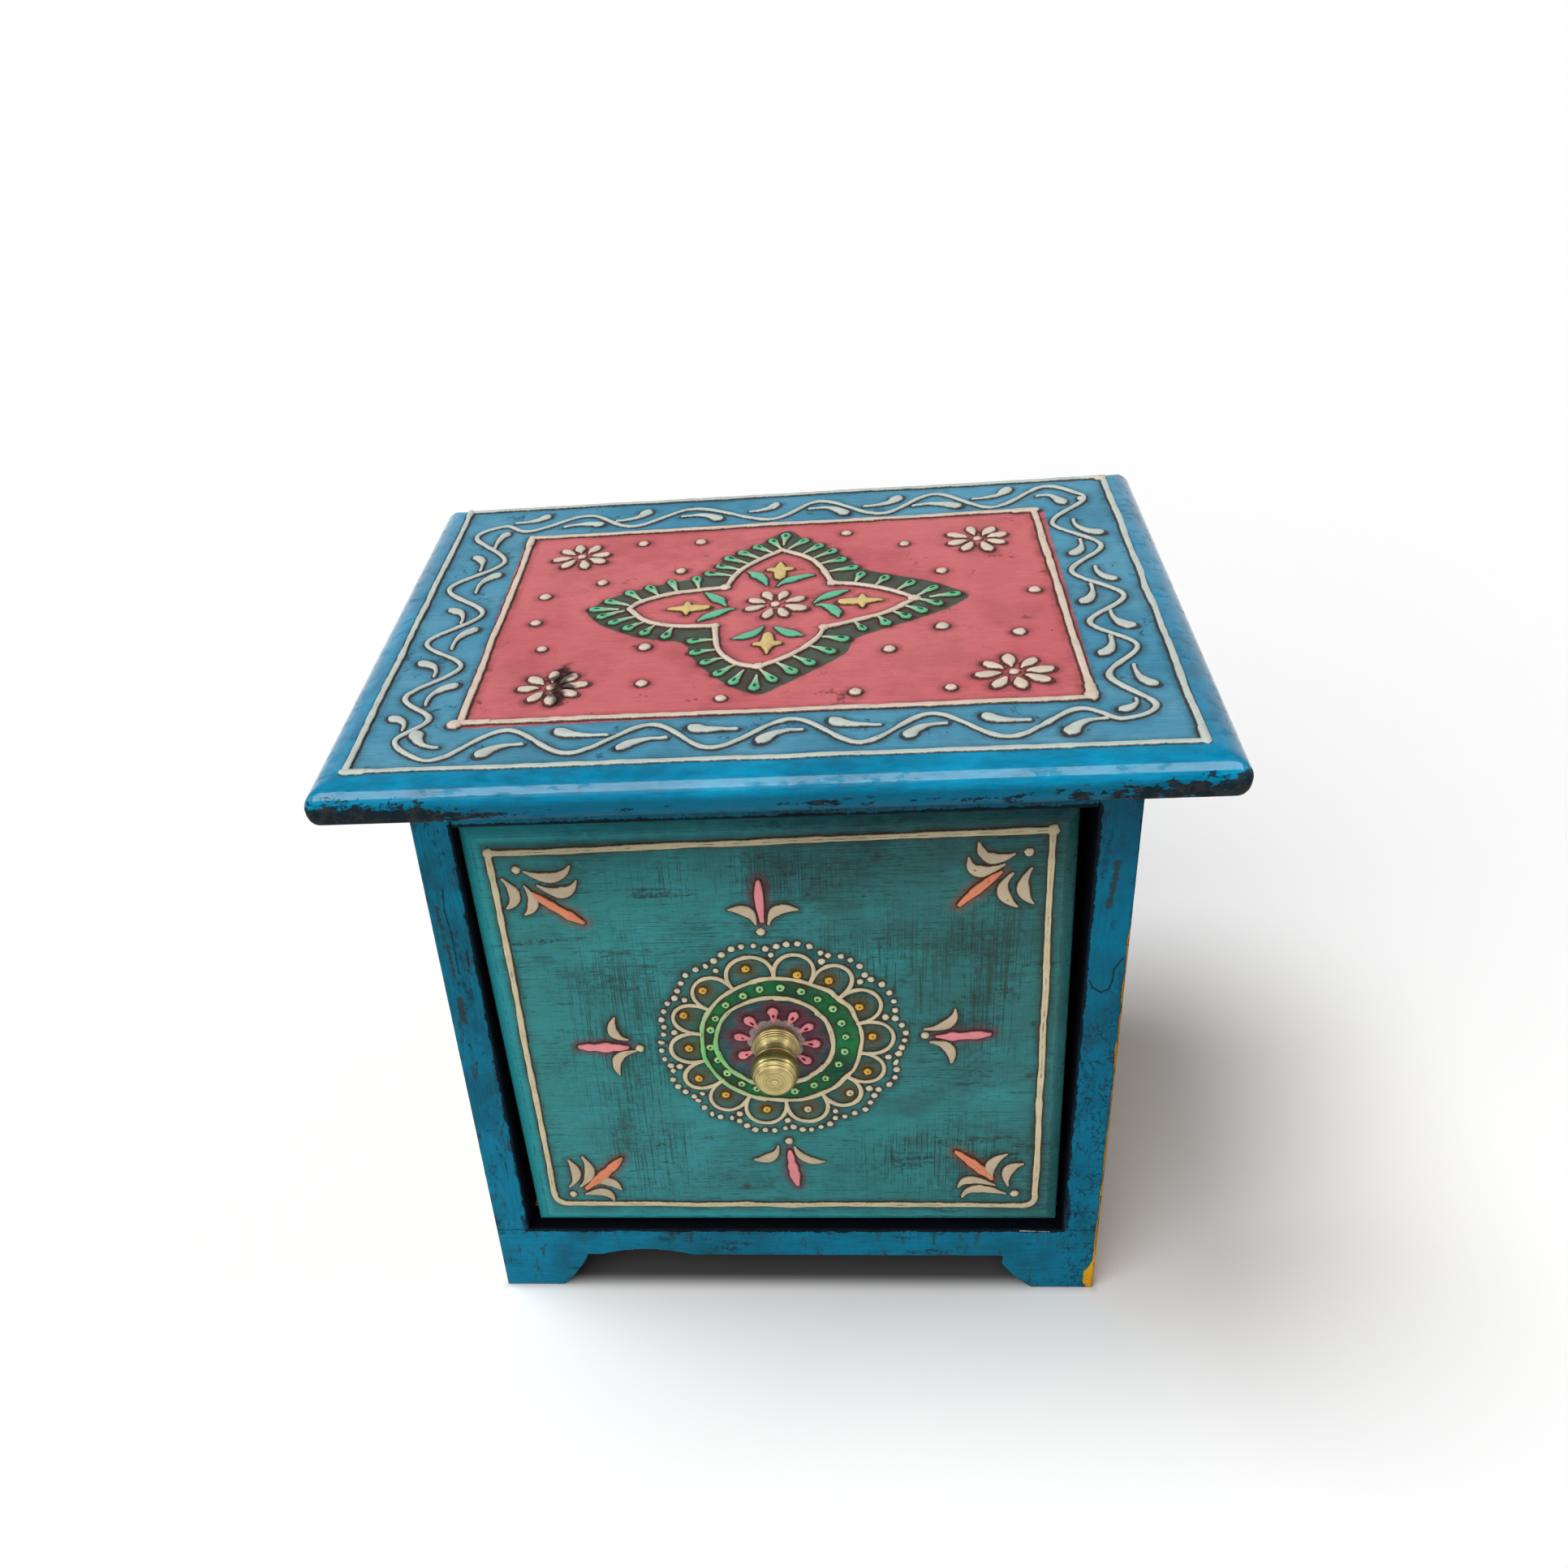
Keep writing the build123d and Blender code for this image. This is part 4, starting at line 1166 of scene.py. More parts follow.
    # sprigs: a dot, leaves from root to tip past a bend, and a coloured stroke
    creamLeaves = [
        ((-4.2, 126.2), (-4.9, 131.4), (-10.4, 130.6)), ((-1.1, 126.0), (-0.2, 132.0), (5.8, 130.2)),
        ((-2.0, 53.2), (-2.6, 48.0), (-8.4, 48.4)), ((2.4, 52.8), (4.2, 47.2), (10.1, 47.5)),
        ((-38.8, 90.8), (-44.2, 92.2), (-41.6, 97.9)), ((-37.1, 87.0), (-44.0, 86.2), (-42.0, 79.2)),
        ((36.2, 92.9), (43.8, 93.3), (43.5, 99.0)), ((37.7, 88.7), (43.6, 88.4), (42.9, 82.0)),
        ((-58.4, 143.1), (-50.4, 138.8), (-47.4, 144.2)), ((-55.6, 139.0), (-48.6, 134.2), (-46.2, 140.0)),
        ((-64.0, 141.1), (-59.2, 135.6), (-63.8, 132.7)), ((-58.8, 138.8), (-55.4, 133.4), (-59.8, 130.6)),
        ((55.8, 144.2), (48.8, 141.0), (47.8, 147.3)), ((53.6, 141.4), (46.0, 137.2), (45.6, 143.4)),
        ((59.9, 140.2), (56.0, 134.4), (60.6, 130.4)), ((55.6, 138.8), (50.8, 134.0), (57.0, 129.6)),
        ((-60.2, 38.4), (-56.0, 42.4), (-59.4, 48.3)), ((-57.2, 38.4), (-51.8, 43.4), (-55.4, 49.4)),
        ((-52.8, 39.6), (-48.2, 41.6), (-46.0, 37.2)), ((-56.0, 35.4), (-49.0, 38.0), (-48.4, 32.9)),
        ((54.4, 40.8), (52.0, 46.8), (57.8, 49.8)), ((58.6, 38.4), (56.6, 45.4), (62.2, 46.3)),
        ((55.1, 38.6), (47.0, 42.8), (45.6, 37.8)), ((58.0, 35.4), (48.2, 39.6), (46.7, 34.2))]
    for root, bend, tip in creamLeaves:
        art.leaf(root, bend, tip, 1.5, "leafBone", profile="double")
    colouredStrokes = [((-3.0, 138.2), (-2.6, 127.2), "pink"), ((1.1, 51.0), (2.7, 39.0), "pink"),
                       ((-51.2, 88.7), (-39.2, 88.4), "pink"), ((39.2, 90.5), (52.0, 91.1), "pink"),
                       ((-57.0, 136.6), (-46.0, 128.0), "orange"), ((53.0, 139.4), (43.8, 130.6), "orange"),
                       ((-55.4, 37.9), (-44.9, 48.8), "orange"), ((54.2, 41.2), (45.0, 50.7), "orange")]
    for start, end, tone in colouredStrokes:
        start, end = np.array(start), np.array(end)
        side = (end - start)[::-1] * (0.03, -0.03)
        path = curvedPath(start, (start + end) / 2 + side, end, 0.5)
        share = np.linspace(0, 1, len(path))
        wide = 0.5 + 0.9 * np.sin(math.pi * np.clip(share, 0.02, 0.98)) ** 0.8
        art.stroke(path, wide, tone, height=0.6, profile="double", pit=0.6, shaky=0.16,
                   glow=(tone + "Glow", 2.6, 0.62))
    for x, z in ((-3.1, 123.9), (1.0, 55.1), (-35.9, 87.9), (36.2, 90.9), (-60.2, 143.6), (59.1, 144.6),
                 (-59.6, 35.4), (60.4, 35.4)):
        art.dot((x, z), 1.2, bone, height=0.55, pit=0.9)
    return art


def drawerMaterial():
    material, shader, place = newMaterial("paintedDrawer")
    x, y, z = split(place)
    edge = attribute(material, "edge")
    paint = coat(place, ("teal", "tealPale", "tealGrime"), (0.14, 1.0, 2.2), 0.5, 0.5, 11.0,
                 (0.3, 1.0, 1.7))
    # cross scratches, gathered in a few patches
    upright = useGroup(scratches, place=place, stretch=(4.0, 1.0, 0.05), amount=1.1, seed=12.0)["Mask"]
    level = useGroup(scratches, place=place, stretch=(0.09, 1.0, 4.2), amount=0.85, seed=13.0)["Mask"]
    gathered = None
    for atX, atZ, wide, high in ((-40, 90, 17, 40), (24, 110, 20, 22), (50, 108, 15, 34), (-36, 52, 16, 20),
                                 (-8, 140, 34, 8), (40, 48, 26, 16)):
        off = vectors("SUBTRACT", place, (atX, drawerFront["face"], atZ))
        near = ramp(vectors("LENGTH", stretched(off, (1 / wide, 0.0, 1 / high))), 1.2, 0.3)
        gathered = near if gathered is None else most(gathered, near)
    hatch = most(upright * join("ADD", 0.15, gathered, clamp=True) * 0.95, level * 0.75)
    # a brown glaze, heavier to the upper right
    toward = x * 0.0045 + (z - 90.0) * 0.002
    glaze = cloud(stretched(place, (0.5, 1.0, 1.3)), 0.07, 6.0, 0.68, 19.0)
    glaze = ramp(glaze + toward, 0.45, 0.85, 0.0, 0.42)
    stain = addNode(material.node_tree, "ShaderNodeAttribute", attribute_name="stain")
    mottle = ramp(cloud(place, 0.35, 4.0, 0.6, 14.0), 0.25, 0.6, 0.7, 1.0)
    around = useGroup(strokeWash, place=place, gap=attribute(material, "gap"), line=0.46, reach=2.2,
                      seed=15.0)
    # painted light: the bevel is painted a lighter teal, most towards the lower left, and a rubbed line runs
    # where it meets the face
    bevel = ramp(edge, 5.2, 3.6) * ramp(x + z * 0.5, 100.0, -30.0, 0.05, 0.8)
    arris = rubbed(place, abs(edge - 2.95), 0.12, 1.0, 20.0)
    worn = rubbed(place, edge, 0.05, 0.8, 16.0)
    # the sides and the back of the board are bare
    shaky = (cloud(place, 0.12, 5.0, 0.65, 17.0) - 0.5) * 6.0
    bare = ramp(y + shaky, -60.6, -60.0)
    grain = useGroup(woodGrain, place=place, stretch=(0.04, 1.0, 1.0), seed=18.0)
    colour = layered(paint["Colour"], (glaze, "tealGrime"), (hatch * 0.66, "tealGrime"),
                     (stain["Alpha"] * mottle, stain["Color"]), (around["Wash"] * 0.6, "tealGrime"),
                     (around["Line"] * 0.85, "coneBrown"), (bevel, "tealBevel"),
                     (arris * 0.45, "tealGrime"), (worn * 0.75, "chipBlack"), (bare, grain["Colour"]))
    rough = 0.4 + paint["Dirt"] * 0.2 + bare * 0.3
    return finishMaterial(material, shader, colour, rough, paint["Height"] - hatch * 0.5, 0.00016)


def buildDrawerFront():
    wide, high = drawerFront["halfWidth"], drawerFront["halfHeight"]
    bevel = drawerFront["bevelWidth"]
    fine, steps = drawerFront["fineEdge"], np.array(drawerFront["edgeSteps"])

    def lines(half):
        middle = np.linspace(-(half - fine), half - fine, int(2 * (half - fine) / drawerFront["cell"]))
        return np.concatenate((-half + steps, middle, half - steps[::-1]))

    across, up = lines(wide), lines(high)
    s, t = (g.ravel() for g in np.meshgrid(across, up))
    inside = np.minimum(wide - np.abs(s), high - np.abs(t))
    fall = unit(1 - inside / bevel)
    fall = np.where(fall < 0.16, fall ** 2 / 0.32, fall - 0.08)      # the bevel's inner edge, eased
    depth = drawerFront["bevelDepth"] * fall + 0.3 * unit(1 - inside / 0.6) ** 2
    x = s - drawerFront["lean"] * t / high - drawerFront["leftExtra"] * unit(-s / wide)
    y, z = drawerFront["face"] + depth, drawerFront["middle"] + t
    rim = sheetRim(len(across), len(up))
    ring = np.column_stack((x[rim], y[rim], z[rim]))
    rings = []
    for back in (*drawerFront["sideSteps"], drawerFront["back"]):
        rings.append(np.column_stack((ring[:, 0], np.full(len(rim), back), ring[:, 2])))
    points, faces = closeUnder(np.column_stack((x, y, z)), gridFaces(len(across), len(up)), rim, rings)
    points = np.array(points)
    art = drawerArtwork()
    places = points[:, (0, 2)]
    gap = art.gapFrom(places)
    stain = np.zeros((len(points), 4))

    px, pz = places.T

    def ringReach(values):
        x0, z0, a, b = values
        return np.hypot((px - x0) / a, (pz - z0) / b)

    outside, within = ringReach(mandala["outerRing"]), ringReach(mandala["innerRing"])
    scallops = unit((1.36 - outside) / 0.12)
    layStainAndShade(stain, 0.42 * scallops, "tealGrime")
    layStainAndShade(stain, 0.5 * unit((1.0 - within) / 0.1), "plumGround")
    green = unit((1.0 - outside) / 0.03) * unit((within - 0.97) / 0.03)
    layStainAndShade(stain, 0.95 * green, "ringGreen")
    around = np.arctan2(pz - mandala["dotRing"][1], px)
    bright = unit(0.45 + 0.35 * np.sin(around * 3 + 0.6) + 0.3 * np.sin(around * 7 + 2.0))
    layStainAndShade(stain, 0.75 * green * bright, "ringBright")
    spill = unit(1 - np.abs(outside - 1.02) / 0.09) * unit(np.cos(around - 2.9) - 0.2)
    layStainAndShade(stain, 0.6 * spill, "ringBright")
    art.glowOver(places, stain)

    def gathered(u, v):
        # painted shadow below the overhang, and the face a little darker at the foot
        high = unit((v - 129 + 2.5 * np.sin(u * 0.11) + 1.2 * np.sin(u * 0.37)) / 27) ** 1.25
        return 0.76 * high + 0.16 * unit((60 - v + 3 * np.sin(u * 0.09)) / 28)

    layStainAndShade(stain, gathered(px, pz), "tealDeep")
    # painted shadow on the strokes below the overhang
    art.soil(lambda u, v: 0.6 * gathered(u, v), "tealGrime")
    for sx, sz, reach in ((-69, 74.5, 0.9), (62.6, 94, 0.7), (62.4, 77, 1.0), (-11.2, 38, 1.3),
                          (-63.6, 105, 0.7)):
        away = np.hypot(px - sx, (pz - sz) / 1.2) / reach
        layStainAndShade(stain, 0.75 * unit((1.1 - away) / 0.5), "coneBrown")
    edge = np.concatenate((inside, np.zeros(len(points) - len(inside))))
    addPiece("drawerFrontPainted", points, faces, drawerMaterial(), "drawer",
             ["drawer_front"], floats={"gap": gap, "edge": edge}, colours={"stain": stain})

    def lay(u, v, lift):
        return np.column_stack((u, drawerFront["face"] - lift, v))

    art.piece("drawerConeWork", lay, coneMaterial("drawerCone", 31.0), "drawer", "painted_front")


buildDrawerFront()
print("stage: painted drawer front")


# Boards that keep the CAD's shape, with eased edges

def boardCopy(node, name):
    piece = bpy.data.objects.new(name, nodes[node].data.copy())
    work = bmesh.new()
    work.from_mesh(piece.data)
    bmesh.ops.remove_doubles(work, verts=work.verts, dist=1e-6)
    bmesh.ops.dissolve_limit(work, angle_limit=math.radians(1), verts=work.verts, edges=work.edges)
    return piece, work


def easedBoard(node, name, material, body, ease=0.45):
    # a light board: the edges are rounded, the faces stay flat
    piece, work = boardCopy(node, name)
    sharp = [e for e in work.edges if len(e.link_faces) == 2 and e.calc_face_angle() > 0.6]
    bmesh.ops.bevel(work, geom=sharp, offset=ease * mm, segments=3, profile=0.5, affect="EDGES")
    work.to_mesh(piece.data)
    work.free()
    for face in piece.data.polygons:
        face.use_smooth = True
    piece.data.set_sharp_from_angle(angle=math.radians(35))
    return settle(piece, material, body, [node])


def wornBoard(node, name, material, body, cell):
    # a dense board with softened edges, which knows how far every point is from an edge
    piece, work = boardCopy(node, name)
    marks = []
    for edge in work.edges:
        if len(edge.link_faces) == 2 and edge.calc_face_angle() > 0.6:
            a, b = (v.co.copy() for v in edge.verts)
            count = max(2, int((b - a).length / (0.9 * mm)))
            marks += [a.lerp(b, k / count) for k in range(count + 1)]
    work.to_mesh(piece.data)
    work.free()
    piece.data.remesh_voxel_size = cell * mm
    scene.collection.objects.link(piece)
    bpy.context.view_layer.objects.active = piece
    piece.select_set(True)
    bpy.ops.object.voxel_remesh()
    piece.select_set(False)
    scene.collection.objects.unlink(piece)
    tree = KDTree(len(marks))
    for i, mark in enumerate(marks):
        tree.insert(mark, i)
    tree.balance()
    away = [tree.find(v.co)[2] / mm for v in piece.data.vertices]
    layer = piece.data.attributes.new("edge", "FLOAT", "POINT")
    layer.data.foreach_set("value", np.clip(away, 0, 12).astype(np.float32))
    piece.data.shade_smooth()
    return settle(piece, material, body, [node])


# lines across the front of the case (x and z), how wide and how shaky they are
caseMarks = [
    (((74.7, 108.5), (75.6, 106.3), (77.6, 104.8), (79.4, 105.7), (80.1, 108.4), (80.2, 111.8),
      (82.0, 115.1)), 0.36, 0.3, "caseGrime"),
    (((-78.5, 139.7), (-79.1, 132.8), (-78.5, 126.7), (-78.6, 114.2)), 0.3, 1.0, "caseGrime"),
    (((-75.5, 121.7), (-75.8, 116.6)), 0.3, 0.3, "caseGrime"),
    (((-81.0, 134.5), (-80.6, 128.0)), 0.7, 2.6, "rust"),
    (((-80.1, 123.0), (-80.0, 112.7)), 0.6, 2.6, "rust"),
    (((-79.9, 106.0), (-79.8, 99.0)), 1.2, 3.2, "rust"),
    (((78.6, 142.0), (77.6, 130.0)), 1.0, 3.4, "rust"),
    (((74.2, 36.0), (74.8, 29.0), (74.2, 24.0)), 1.0, 2.2, "caseBlack"),
    (((-75.0, 28.0), (-74.4, 22.0)), 0.5, 1.4, "caseBlack"),
]


# where the paints of the case change
caseForm = {"halfWidth": 82.75, "outside": 82.0, "apronTop": 20.9, "front": -66.6, "seam": 22.75,
            "openingHalf": 73.5, "openingSill": 22.8, "openingTop": 157.0, "liningDepth": -48.0,
            "flake": ((62.4, -67.0, 22.55), (70.2, -67.0, 22.2)), "marksAt": -67.0}


def caseMaterial():
    # blue stiles, apron and rail; mustard outer faces; black in the drawer's opening; bare wood inside
    material, shader, place = newMaterial("paintedCase", {"Specular IOR Level": 0.05})
    x, y, z = split(place)
    wide, edge, form = abs(x), attribute(material, "edge"), caseForm
    tones = ("caseBlue", "caseBluePale", "caseGrime")
    blue = coat(place, tones, (1.6, 1.6, 0.12), 0.85, 0.45, 41.0, (1.3, 1.3, 0.5))
    level = coat(place, tones, (0.12, 1.6, 1.8), 0.6, 0.35, 42.0, (0.5, 1.3, 1.3))
    yellow = coat(place, ("mustard", "mustardPale", "mustardGrime"), (1.6, 1.6, 0.12), 0.5, 0.35, 43.0)
    grain = useGroup(woodGrain, place=place, stretch=(1.0, 1.0, 0.04), seed=44.0)
    shaky = cloud(place, 0.16, 6.0, 0.66, 45.0) - 0.5
    onApron = ramp(z, form["apronTop"] + 0.5, form["apronTop"] - 0.5)
    # rusty brown glaze left in streaks and blots
    streaks = cloud(stretched(place, (1.0, 1.0, 0.35)), 0.3, 9.0, 0.78, 48.0)
    deepened = ramp(x, 40.0, 80.0, 0.0, 0.46) * ramp(z, 14.0, 26.0, 0.25, 1.0)
    # wrinkled paint along the lower right stile
    wrinkle = cloud(stretched(place, (1.0, 1.0, 0.8)), 0.6, 2.0, 0.5, 49.0)
    patchy = ramp(cloud(place, 0.22, 4.0, 0.66, 50.0), 0.46, 0.53)
    onStile = ramp(x, 73.6, 74.6) * ramp(z, 104.0, 88.0)
    pits = useGroup(specks, place=place, spacing=2.0, size=0.34, share=0.6, seed=54.0)["Mask"]
    wrinkle = ramp(abs(wrinkle - 0.5), 0.036, 0.014) * patchy * onStile
    wrinkle = most(wrinkle, pits * (onStile * patchy))
    # cracks in the paint, and blots beside them
    marks = []
    for points, width, shake, tone in caseMarks:
        for (x1, z1), (x2, z2) in zip(points, points[1:]):
            mark = useGroup(hairline, place=place, start=(x1, form["marksAt"], z1),
                            end=(x2, form["marksAt"], z2), width=width, shake=shake, seed=x1)["Mask"]
            marks.append((mark * 0.8, tone))
    front = layered(blue["Colour"], (onApron, level["Colour"]),
                    (ramp(streaks, 0.56, 0.6, 0.0, 0.66), "rust"), (deepened, "caseDeep"),
                    (wrinkle * 0.66, "caseGrime"), *marks,
                    # painted shadow under the overhang: darker towards the top, and more to the right
                    (ramp(z + x * 0.12, 140.0, 168.0, 0.0, 0.5), "caseGrime"),
                    (ramp(abs(z - form["seam"]), 0.35, 0.1) * 0.45, "caseGrime"))
    # from the front backwards: how deep the blue goes on the outside
    lap = y + shaky * 2.2
    outer = ramp(wide, form["outside"], form["outside"] + 0.5)
    outer = outer * ramp(lap, form["front"], form["front"] + 0.3)
    # inside the case, black paint stops at a ragged line a little way in
    inner = ramp(wide, 74.3, 73.9) * ramp(lap, -66.7, -66.4)
    sill = ramp(z, 22.2, 22.5) * ramp(lap, -66.5, -66.1)
    hidden = most(inner, sill * ramp(wide, 74.5, 73.8))
    deep = ramp(y + shaky * 30.0, form["liningDepth"], form["liningDepth"] + 2.0)
    # mustard shows along the outer corner of the right stile, and in a patch at its foot
    foot = ramp(z, 13.6, 7.6, 0.0, 1.4) + ramp(z, 9.0, 6.0, 0.0, 1.4) - ramp(z, 2.8, 0.0, 0.0, 1.3)
    strip = ramp(z, 126.0, 120.0) * ramp(z, 60.0, 20.0, 0.5, 0.68)
    reach = x + (shaky * 1.7 + most(foot, strip))
    corner = form["halfWidth"]
    dimmed = mixColour(ramp(z, 12.0, 18.0, 0.0, 0.55), yellow["Colour"], "mustardGrime")
    # a ragged dark line round the opening, and a flake of pale paint on the sill
    beside = most(most(wide - form["openingHalf"], form["openingSill"] - z), z - form["openingTop"])
    lined = rubbed(place, beside, 0.75, 1.6, 47.0)
    flake = useGroup(hairline, place=place, start=form["flake"][0], end=form["flake"][1], width=0.17,
                     shake=0.8, seed=5.0)["Mask"]
    worn = rubbed(place, edge, 0.12, 1.5, 46.0)
    colour = layered(front, (outer, yellow["Colour"]),
                     (hidden, mixColour(deep, "caseBlack", grain["Colour"])),
                     (ramp(reach, corner, corner + 0.25, 0.0, 0.7), "caseGrime"),
                     (ramp(reach, corner + 0.25, corner + 0.45), dimmed), (lined * 0.93, "caseBlack"),
                     (flake * 0.5, "frostCream"), (worn * 0.75, "chipBlack"),
                     (ramp(z, 0.5, 0.1) * 0.8, grain["Colour"]))
    rough = 0.36 + blue["Dirt"] * 0.25 + most(worn, hidden) * 0.2
    height = blue["Height"] - worn * 0.9 - wrinkle * 0.7
    return finishMaterial(material, shader, colour, rough, height, 0.0002)


def backMaterial():
    material, shader, place = newMaterial("paintedBack")
    paint = coat(place, ("caseBlue", "caseBluePale", "caseGrime"), (0.05, 1.1, 1.1), 0.55, 0.4, 51.0)
    grain = useGroup(woodGrain, place=place, stretch=(0.04, 1.0, 1.0), seed=52.0)
    worn = rubbed(place, attribute(material, "edge"), 0.15, 1.4, 53.0)
    inside = ramp(split(place)[1], 63.6, 63.3)
    colour = layered(paint["Colour"], (worn * 0.75, "chipBlack"), (inside, grain["Colour"]))
    height = paint["Height"] + grain["Height"] * 0.5
    return finishMaterial(material, shader, colour, 0.42 + paint["Dirt"] * 0.25, height, 0.0002)


def bareMaterial(name, stretch, seed):
    material, shader, place = newMaterial(name)
    grain = useGroup(woodGrain, place=place, stretch=stretch, seed=seed)
    soiled = ramp(cloud(place, 0.03, 4.0, 0.6, seed + 1), 0.45, 0.75, 0.0, 0.45)
    spots = useGroup(specks, place=place, spacing=9.0, size=0.6, share=0.25, seed=seed)["Mask"]
    colour = layered(grain["Colour"], (soiled, "mangoDark"), (spots * 0.6, "mangoPore"))
    rough = ramp(grain["Height"], 0.2, 0.8, 0.55, 0.75)
    return finishMaterial(material, shader, colour, rough, grain["Height"], 0.00025)


casePaint = caseMaterial()
for node, name, material, slot, cell in (
        ("left_side_board", "leftSidePainted", casePaint, "painted_sides", 1.0),
        ("right_side_board", "rightSidePainted", casePaint, "painted_sides", 1.0),
        ("front_apron", "apronPainted", casePaint, "painted_case", 0.8),
        ("top_rail", "railPainted", casePaint, "painted_case", 1.0),
        ("back_panel", "backPainted", backMaterial(), "painted_back", 1.2)):
    wornBoard(node, name, material, "case", cell)
print("stage: painted boards")

uprightWood = bareMaterial("bareWoodUpright", (1.0, 0.04, 1.0), 61.0)
crossWood = bareMaterial("bareWoodAcross", (0.04, 1.0, 1.0), 64.0)
easedBoard("drawer_deck", "deckBoard", crossWood, "case")
for node, name, material in (("drawer_left_side", "boxLeftSide", uprightWood),
                             ("drawer_right_side", "boxRightSide", uprightWood),
                             ("drawer_back", "boxBack", crossWood),
                             ("drawer_bottom", "boxBottom", crossWood)):
    easedBoard(node, name, material, "drawer")
print("stage: bare boards")


# The knob, its washers and screw, and the brads

# the colours are linear
knob = {"x": -0.9, "z": 89.7, "seat": -65.7, "segments": 96, "washerRadius": 6.5, "scallops": 12,
        "scallopDepth": 0.8, "brass": (0.64, 0.53, 0.25, 1), "brassDark": (0.32, 0.25, 0.095, 1),
        "tarnish": (0.24, 0.16, 0.06, 1), "milky": (0.58, 0.47, 0.46, 1), "milkyDark": (0.4, 0.32, 0.31, 1),
        "steel": (0.42, 0.42, 0.43, 1), "steelDark": (0.2, 0.18, 0.16, 1)}


def knobProfile():
    # radius and distance from the seat, with the rings that the lathe left
    outline = [(0.0, 0.0), (4.4, 0.0), (5.1, 0.05), (5.3, 0.25), (5.5, 0.8), (5.8, 1.25), (5.98, 1.55),
               (6.02, 1.9), (6.0, 2.35), (5.92, 2.5), (5.8, 2.56), (5.72, 2.64), (5.78, 2.74), (5.8, 2.95),
               (5.7, 3.12), (5.56, 3.18), (5.52, 3.28), (5.56, 3.4), (5.54, 3.6), (5.42, 3.76), (5.3, 3.82),
               (5.26, 3.92), (5.26, 4.1), (5.1, 4.3), (4.86, 4.6), (4.62, 4.92), (4.42, 5.28), (4.28, 5.64),
               (4.16, 6.0), (4.06, 6.35), (4.0, 6.6), (4.04, 6.85)]
    middle, ball = 11.3, 5.95
    for degrees in range(-47, 44, 5):
        turn = math.radians(degrees)
        radius, along = ball * math.cos(turn), middle + ball * math.sin(turn)
        if degrees in (-22, 18, 33):      # fine rings, one near the neck and two towards the tip
            outline += [(radius + 0.05, along - 0.24), (radius - 0.14, along - 0.08),
                        (radius - 0.16, along + 0.08), (radius - 0.04, along + 0.24)]
        else:
            outline.append((radius, along))
    outline += [(4.3, 15.41), (4.08, 15.5)]
    for groove in (3.7, 2.8, 1.9, 1.0):
        rise = 15.81 - 0.4 * (groove / 4.3) ** 2
        outline += [(groove + 0.3, rise), (groove + 0.08, rise - 0.13), (groove - 0.08, rise - 0.13),
                    (groove - 0.3, rise)]
    return outline + [(0.35, 15.81), (0.0, 15.81)]


def brassMaterial():
    material, shader, place = newMaterial("turnedBrass", {"Metallic": 1.0})
    x, y, z = split(place)
    fromAxis = follow("ShaderNodeCombineXYZ", {0: x - knob["x"], 2: z - knob["z"]})[0]
    radius = vectors("LENGTH", fromAxis)
    turned = follow("ShaderNodeCombineXYZ", {0: radius * 3.6, 1: y * 3.6})[0]
    rings = cloud(turned, 1.0, 3.0, 0.6, 71.0)
    tarnish = cloud(place, 0.35, 4.0, 0.6, 72.0)
    colour = mixColour(ramp(rings, 0.38, 0.62), knob["brassDark"], knob["brass"])
    colour = mixColour(ramp(tarnish, 0.46, 0.7, 0.0, 0.55), colour, knob["tarnish"])
    rough = ramp(rings, 0.3, 0.7, 0.27, 0.42)
    return finishMaterial(material, shader, colour, rough, rings, 0.00009)


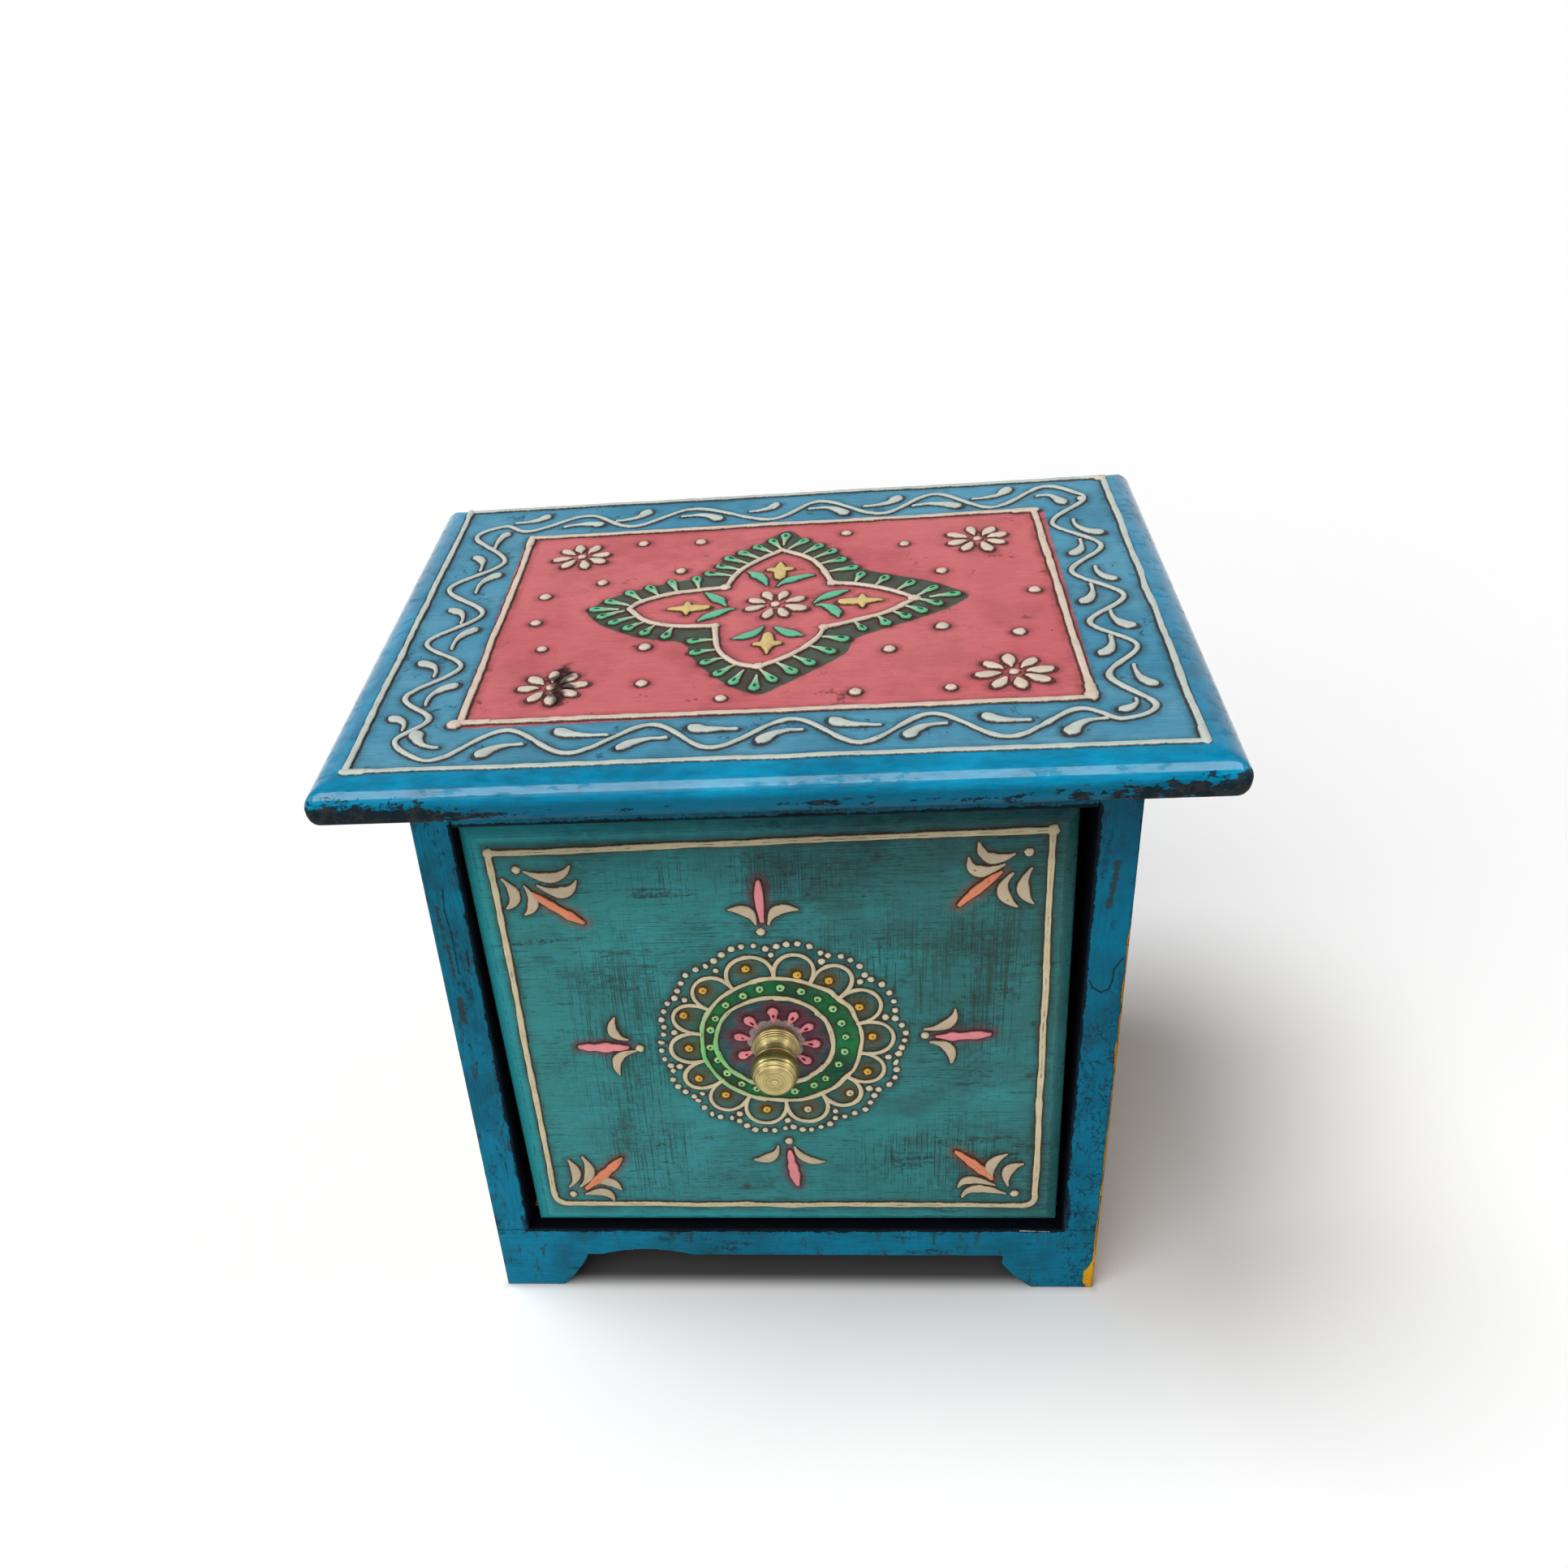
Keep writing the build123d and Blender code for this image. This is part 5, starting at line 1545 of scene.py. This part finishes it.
def lathe(radii, runs):
    # rings of points round the knob's axis, the faces between them and the one over the first ring
    count = knob["segments"]
    points = []
    for radius, along in zip(radii, runs):
        for k, reach in enumerate(np.broadcast_to(radius, count)):
            turn = 2 * math.pi * k / count
            points.append((knob["x"] + reach * math.cos(turn), knob["seat"] - along,
                           knob["z"] + reach * math.sin(turn)))
    faces = [tuple(face) for face in ringFaces(len(runs), count)]
    return points, faces + [tuple(range(count))[::-1]]


def buildKnob():
    outline, count = knobProfile(), knob["segments"]
    points, faces = lathe(*zip(*outline[1:-1]))
    last = len(points) - count
    points.append((knob["x"], knob["seat"] - outline[-1][1], knob["z"]))
    faces += [(last + k, last + (k + 1) % count, len(points) - 1) for k in range(count)]
    addPiece("turnedKnob", points, faces, brassMaterial(), "drawer", ["drawer_knob"])


def buildClearWasher():
    material, shader, place = newMaterial("clearPlastic", {"Specular IOR Level": 0.5, "Alpha": 0.42})
    milky = cloud(place, 0.3, 3.0)
    plug(mixColour(milky, knob["milkyDark"], knob["milky"]), shader.inputs["Base Color"])
    plug(ramp(milky, 0.3, 0.7, 0.2, 0.34), shader.inputs["Roughness"])
    # each ring of the washer: its place along the knob's axis, and how far it lies inside the outline
    runs, insets = (-0.36, -0.28, -0.12, 0.0, 0.0), (0.0, -0.06, -0.06, 0.05, 1.2)
    count = knob["segments"]
    lobes = [abs(math.cos(math.pi * k / count * knob["scallops"])) ** 0.7 for k in range(count)]
    outline = knob["washerRadius"] + knob["scallopDepth"] * np.array(lobes)
    points, faces = lathe([outline - inset for inset in insets], runs)
    faces.append(tuple(range(len(points) - count, len(points))))
    addPiece("clearWasher", points, faces, material, "drawer", ["knob_clear_washer"])


def steelMaterial():
    material, shader, place = newMaterial("brightSteel", {"Metallic": 1.0})
    wear = cloud(place, 0.7, 4.0, 0.6, 81.0)
    plug(mixColour(wear, knob["steel"], knob["steelDark"]), shader.inputs["Base Color"])
    plug(ramp(wear, 0.3, 0.7, 0.22, 0.45), shader.inputs["Roughness"])
    return material


buildKnob()
buildClearWasher()
steel = steelMaterial()
for name in ("knob_steel_washer", "knob_screw", "top_board_brads", "apron_brads", "rail_brads", "deck_brads",
             "back_panel_brads", "drawer_front_brads", "drawer_back_brads", "drawer_bottom_brads"):
    nodes[name].data.materials.clear()
    nodes[name].data.materials.append(steel)
print("stage: knob and fixings")
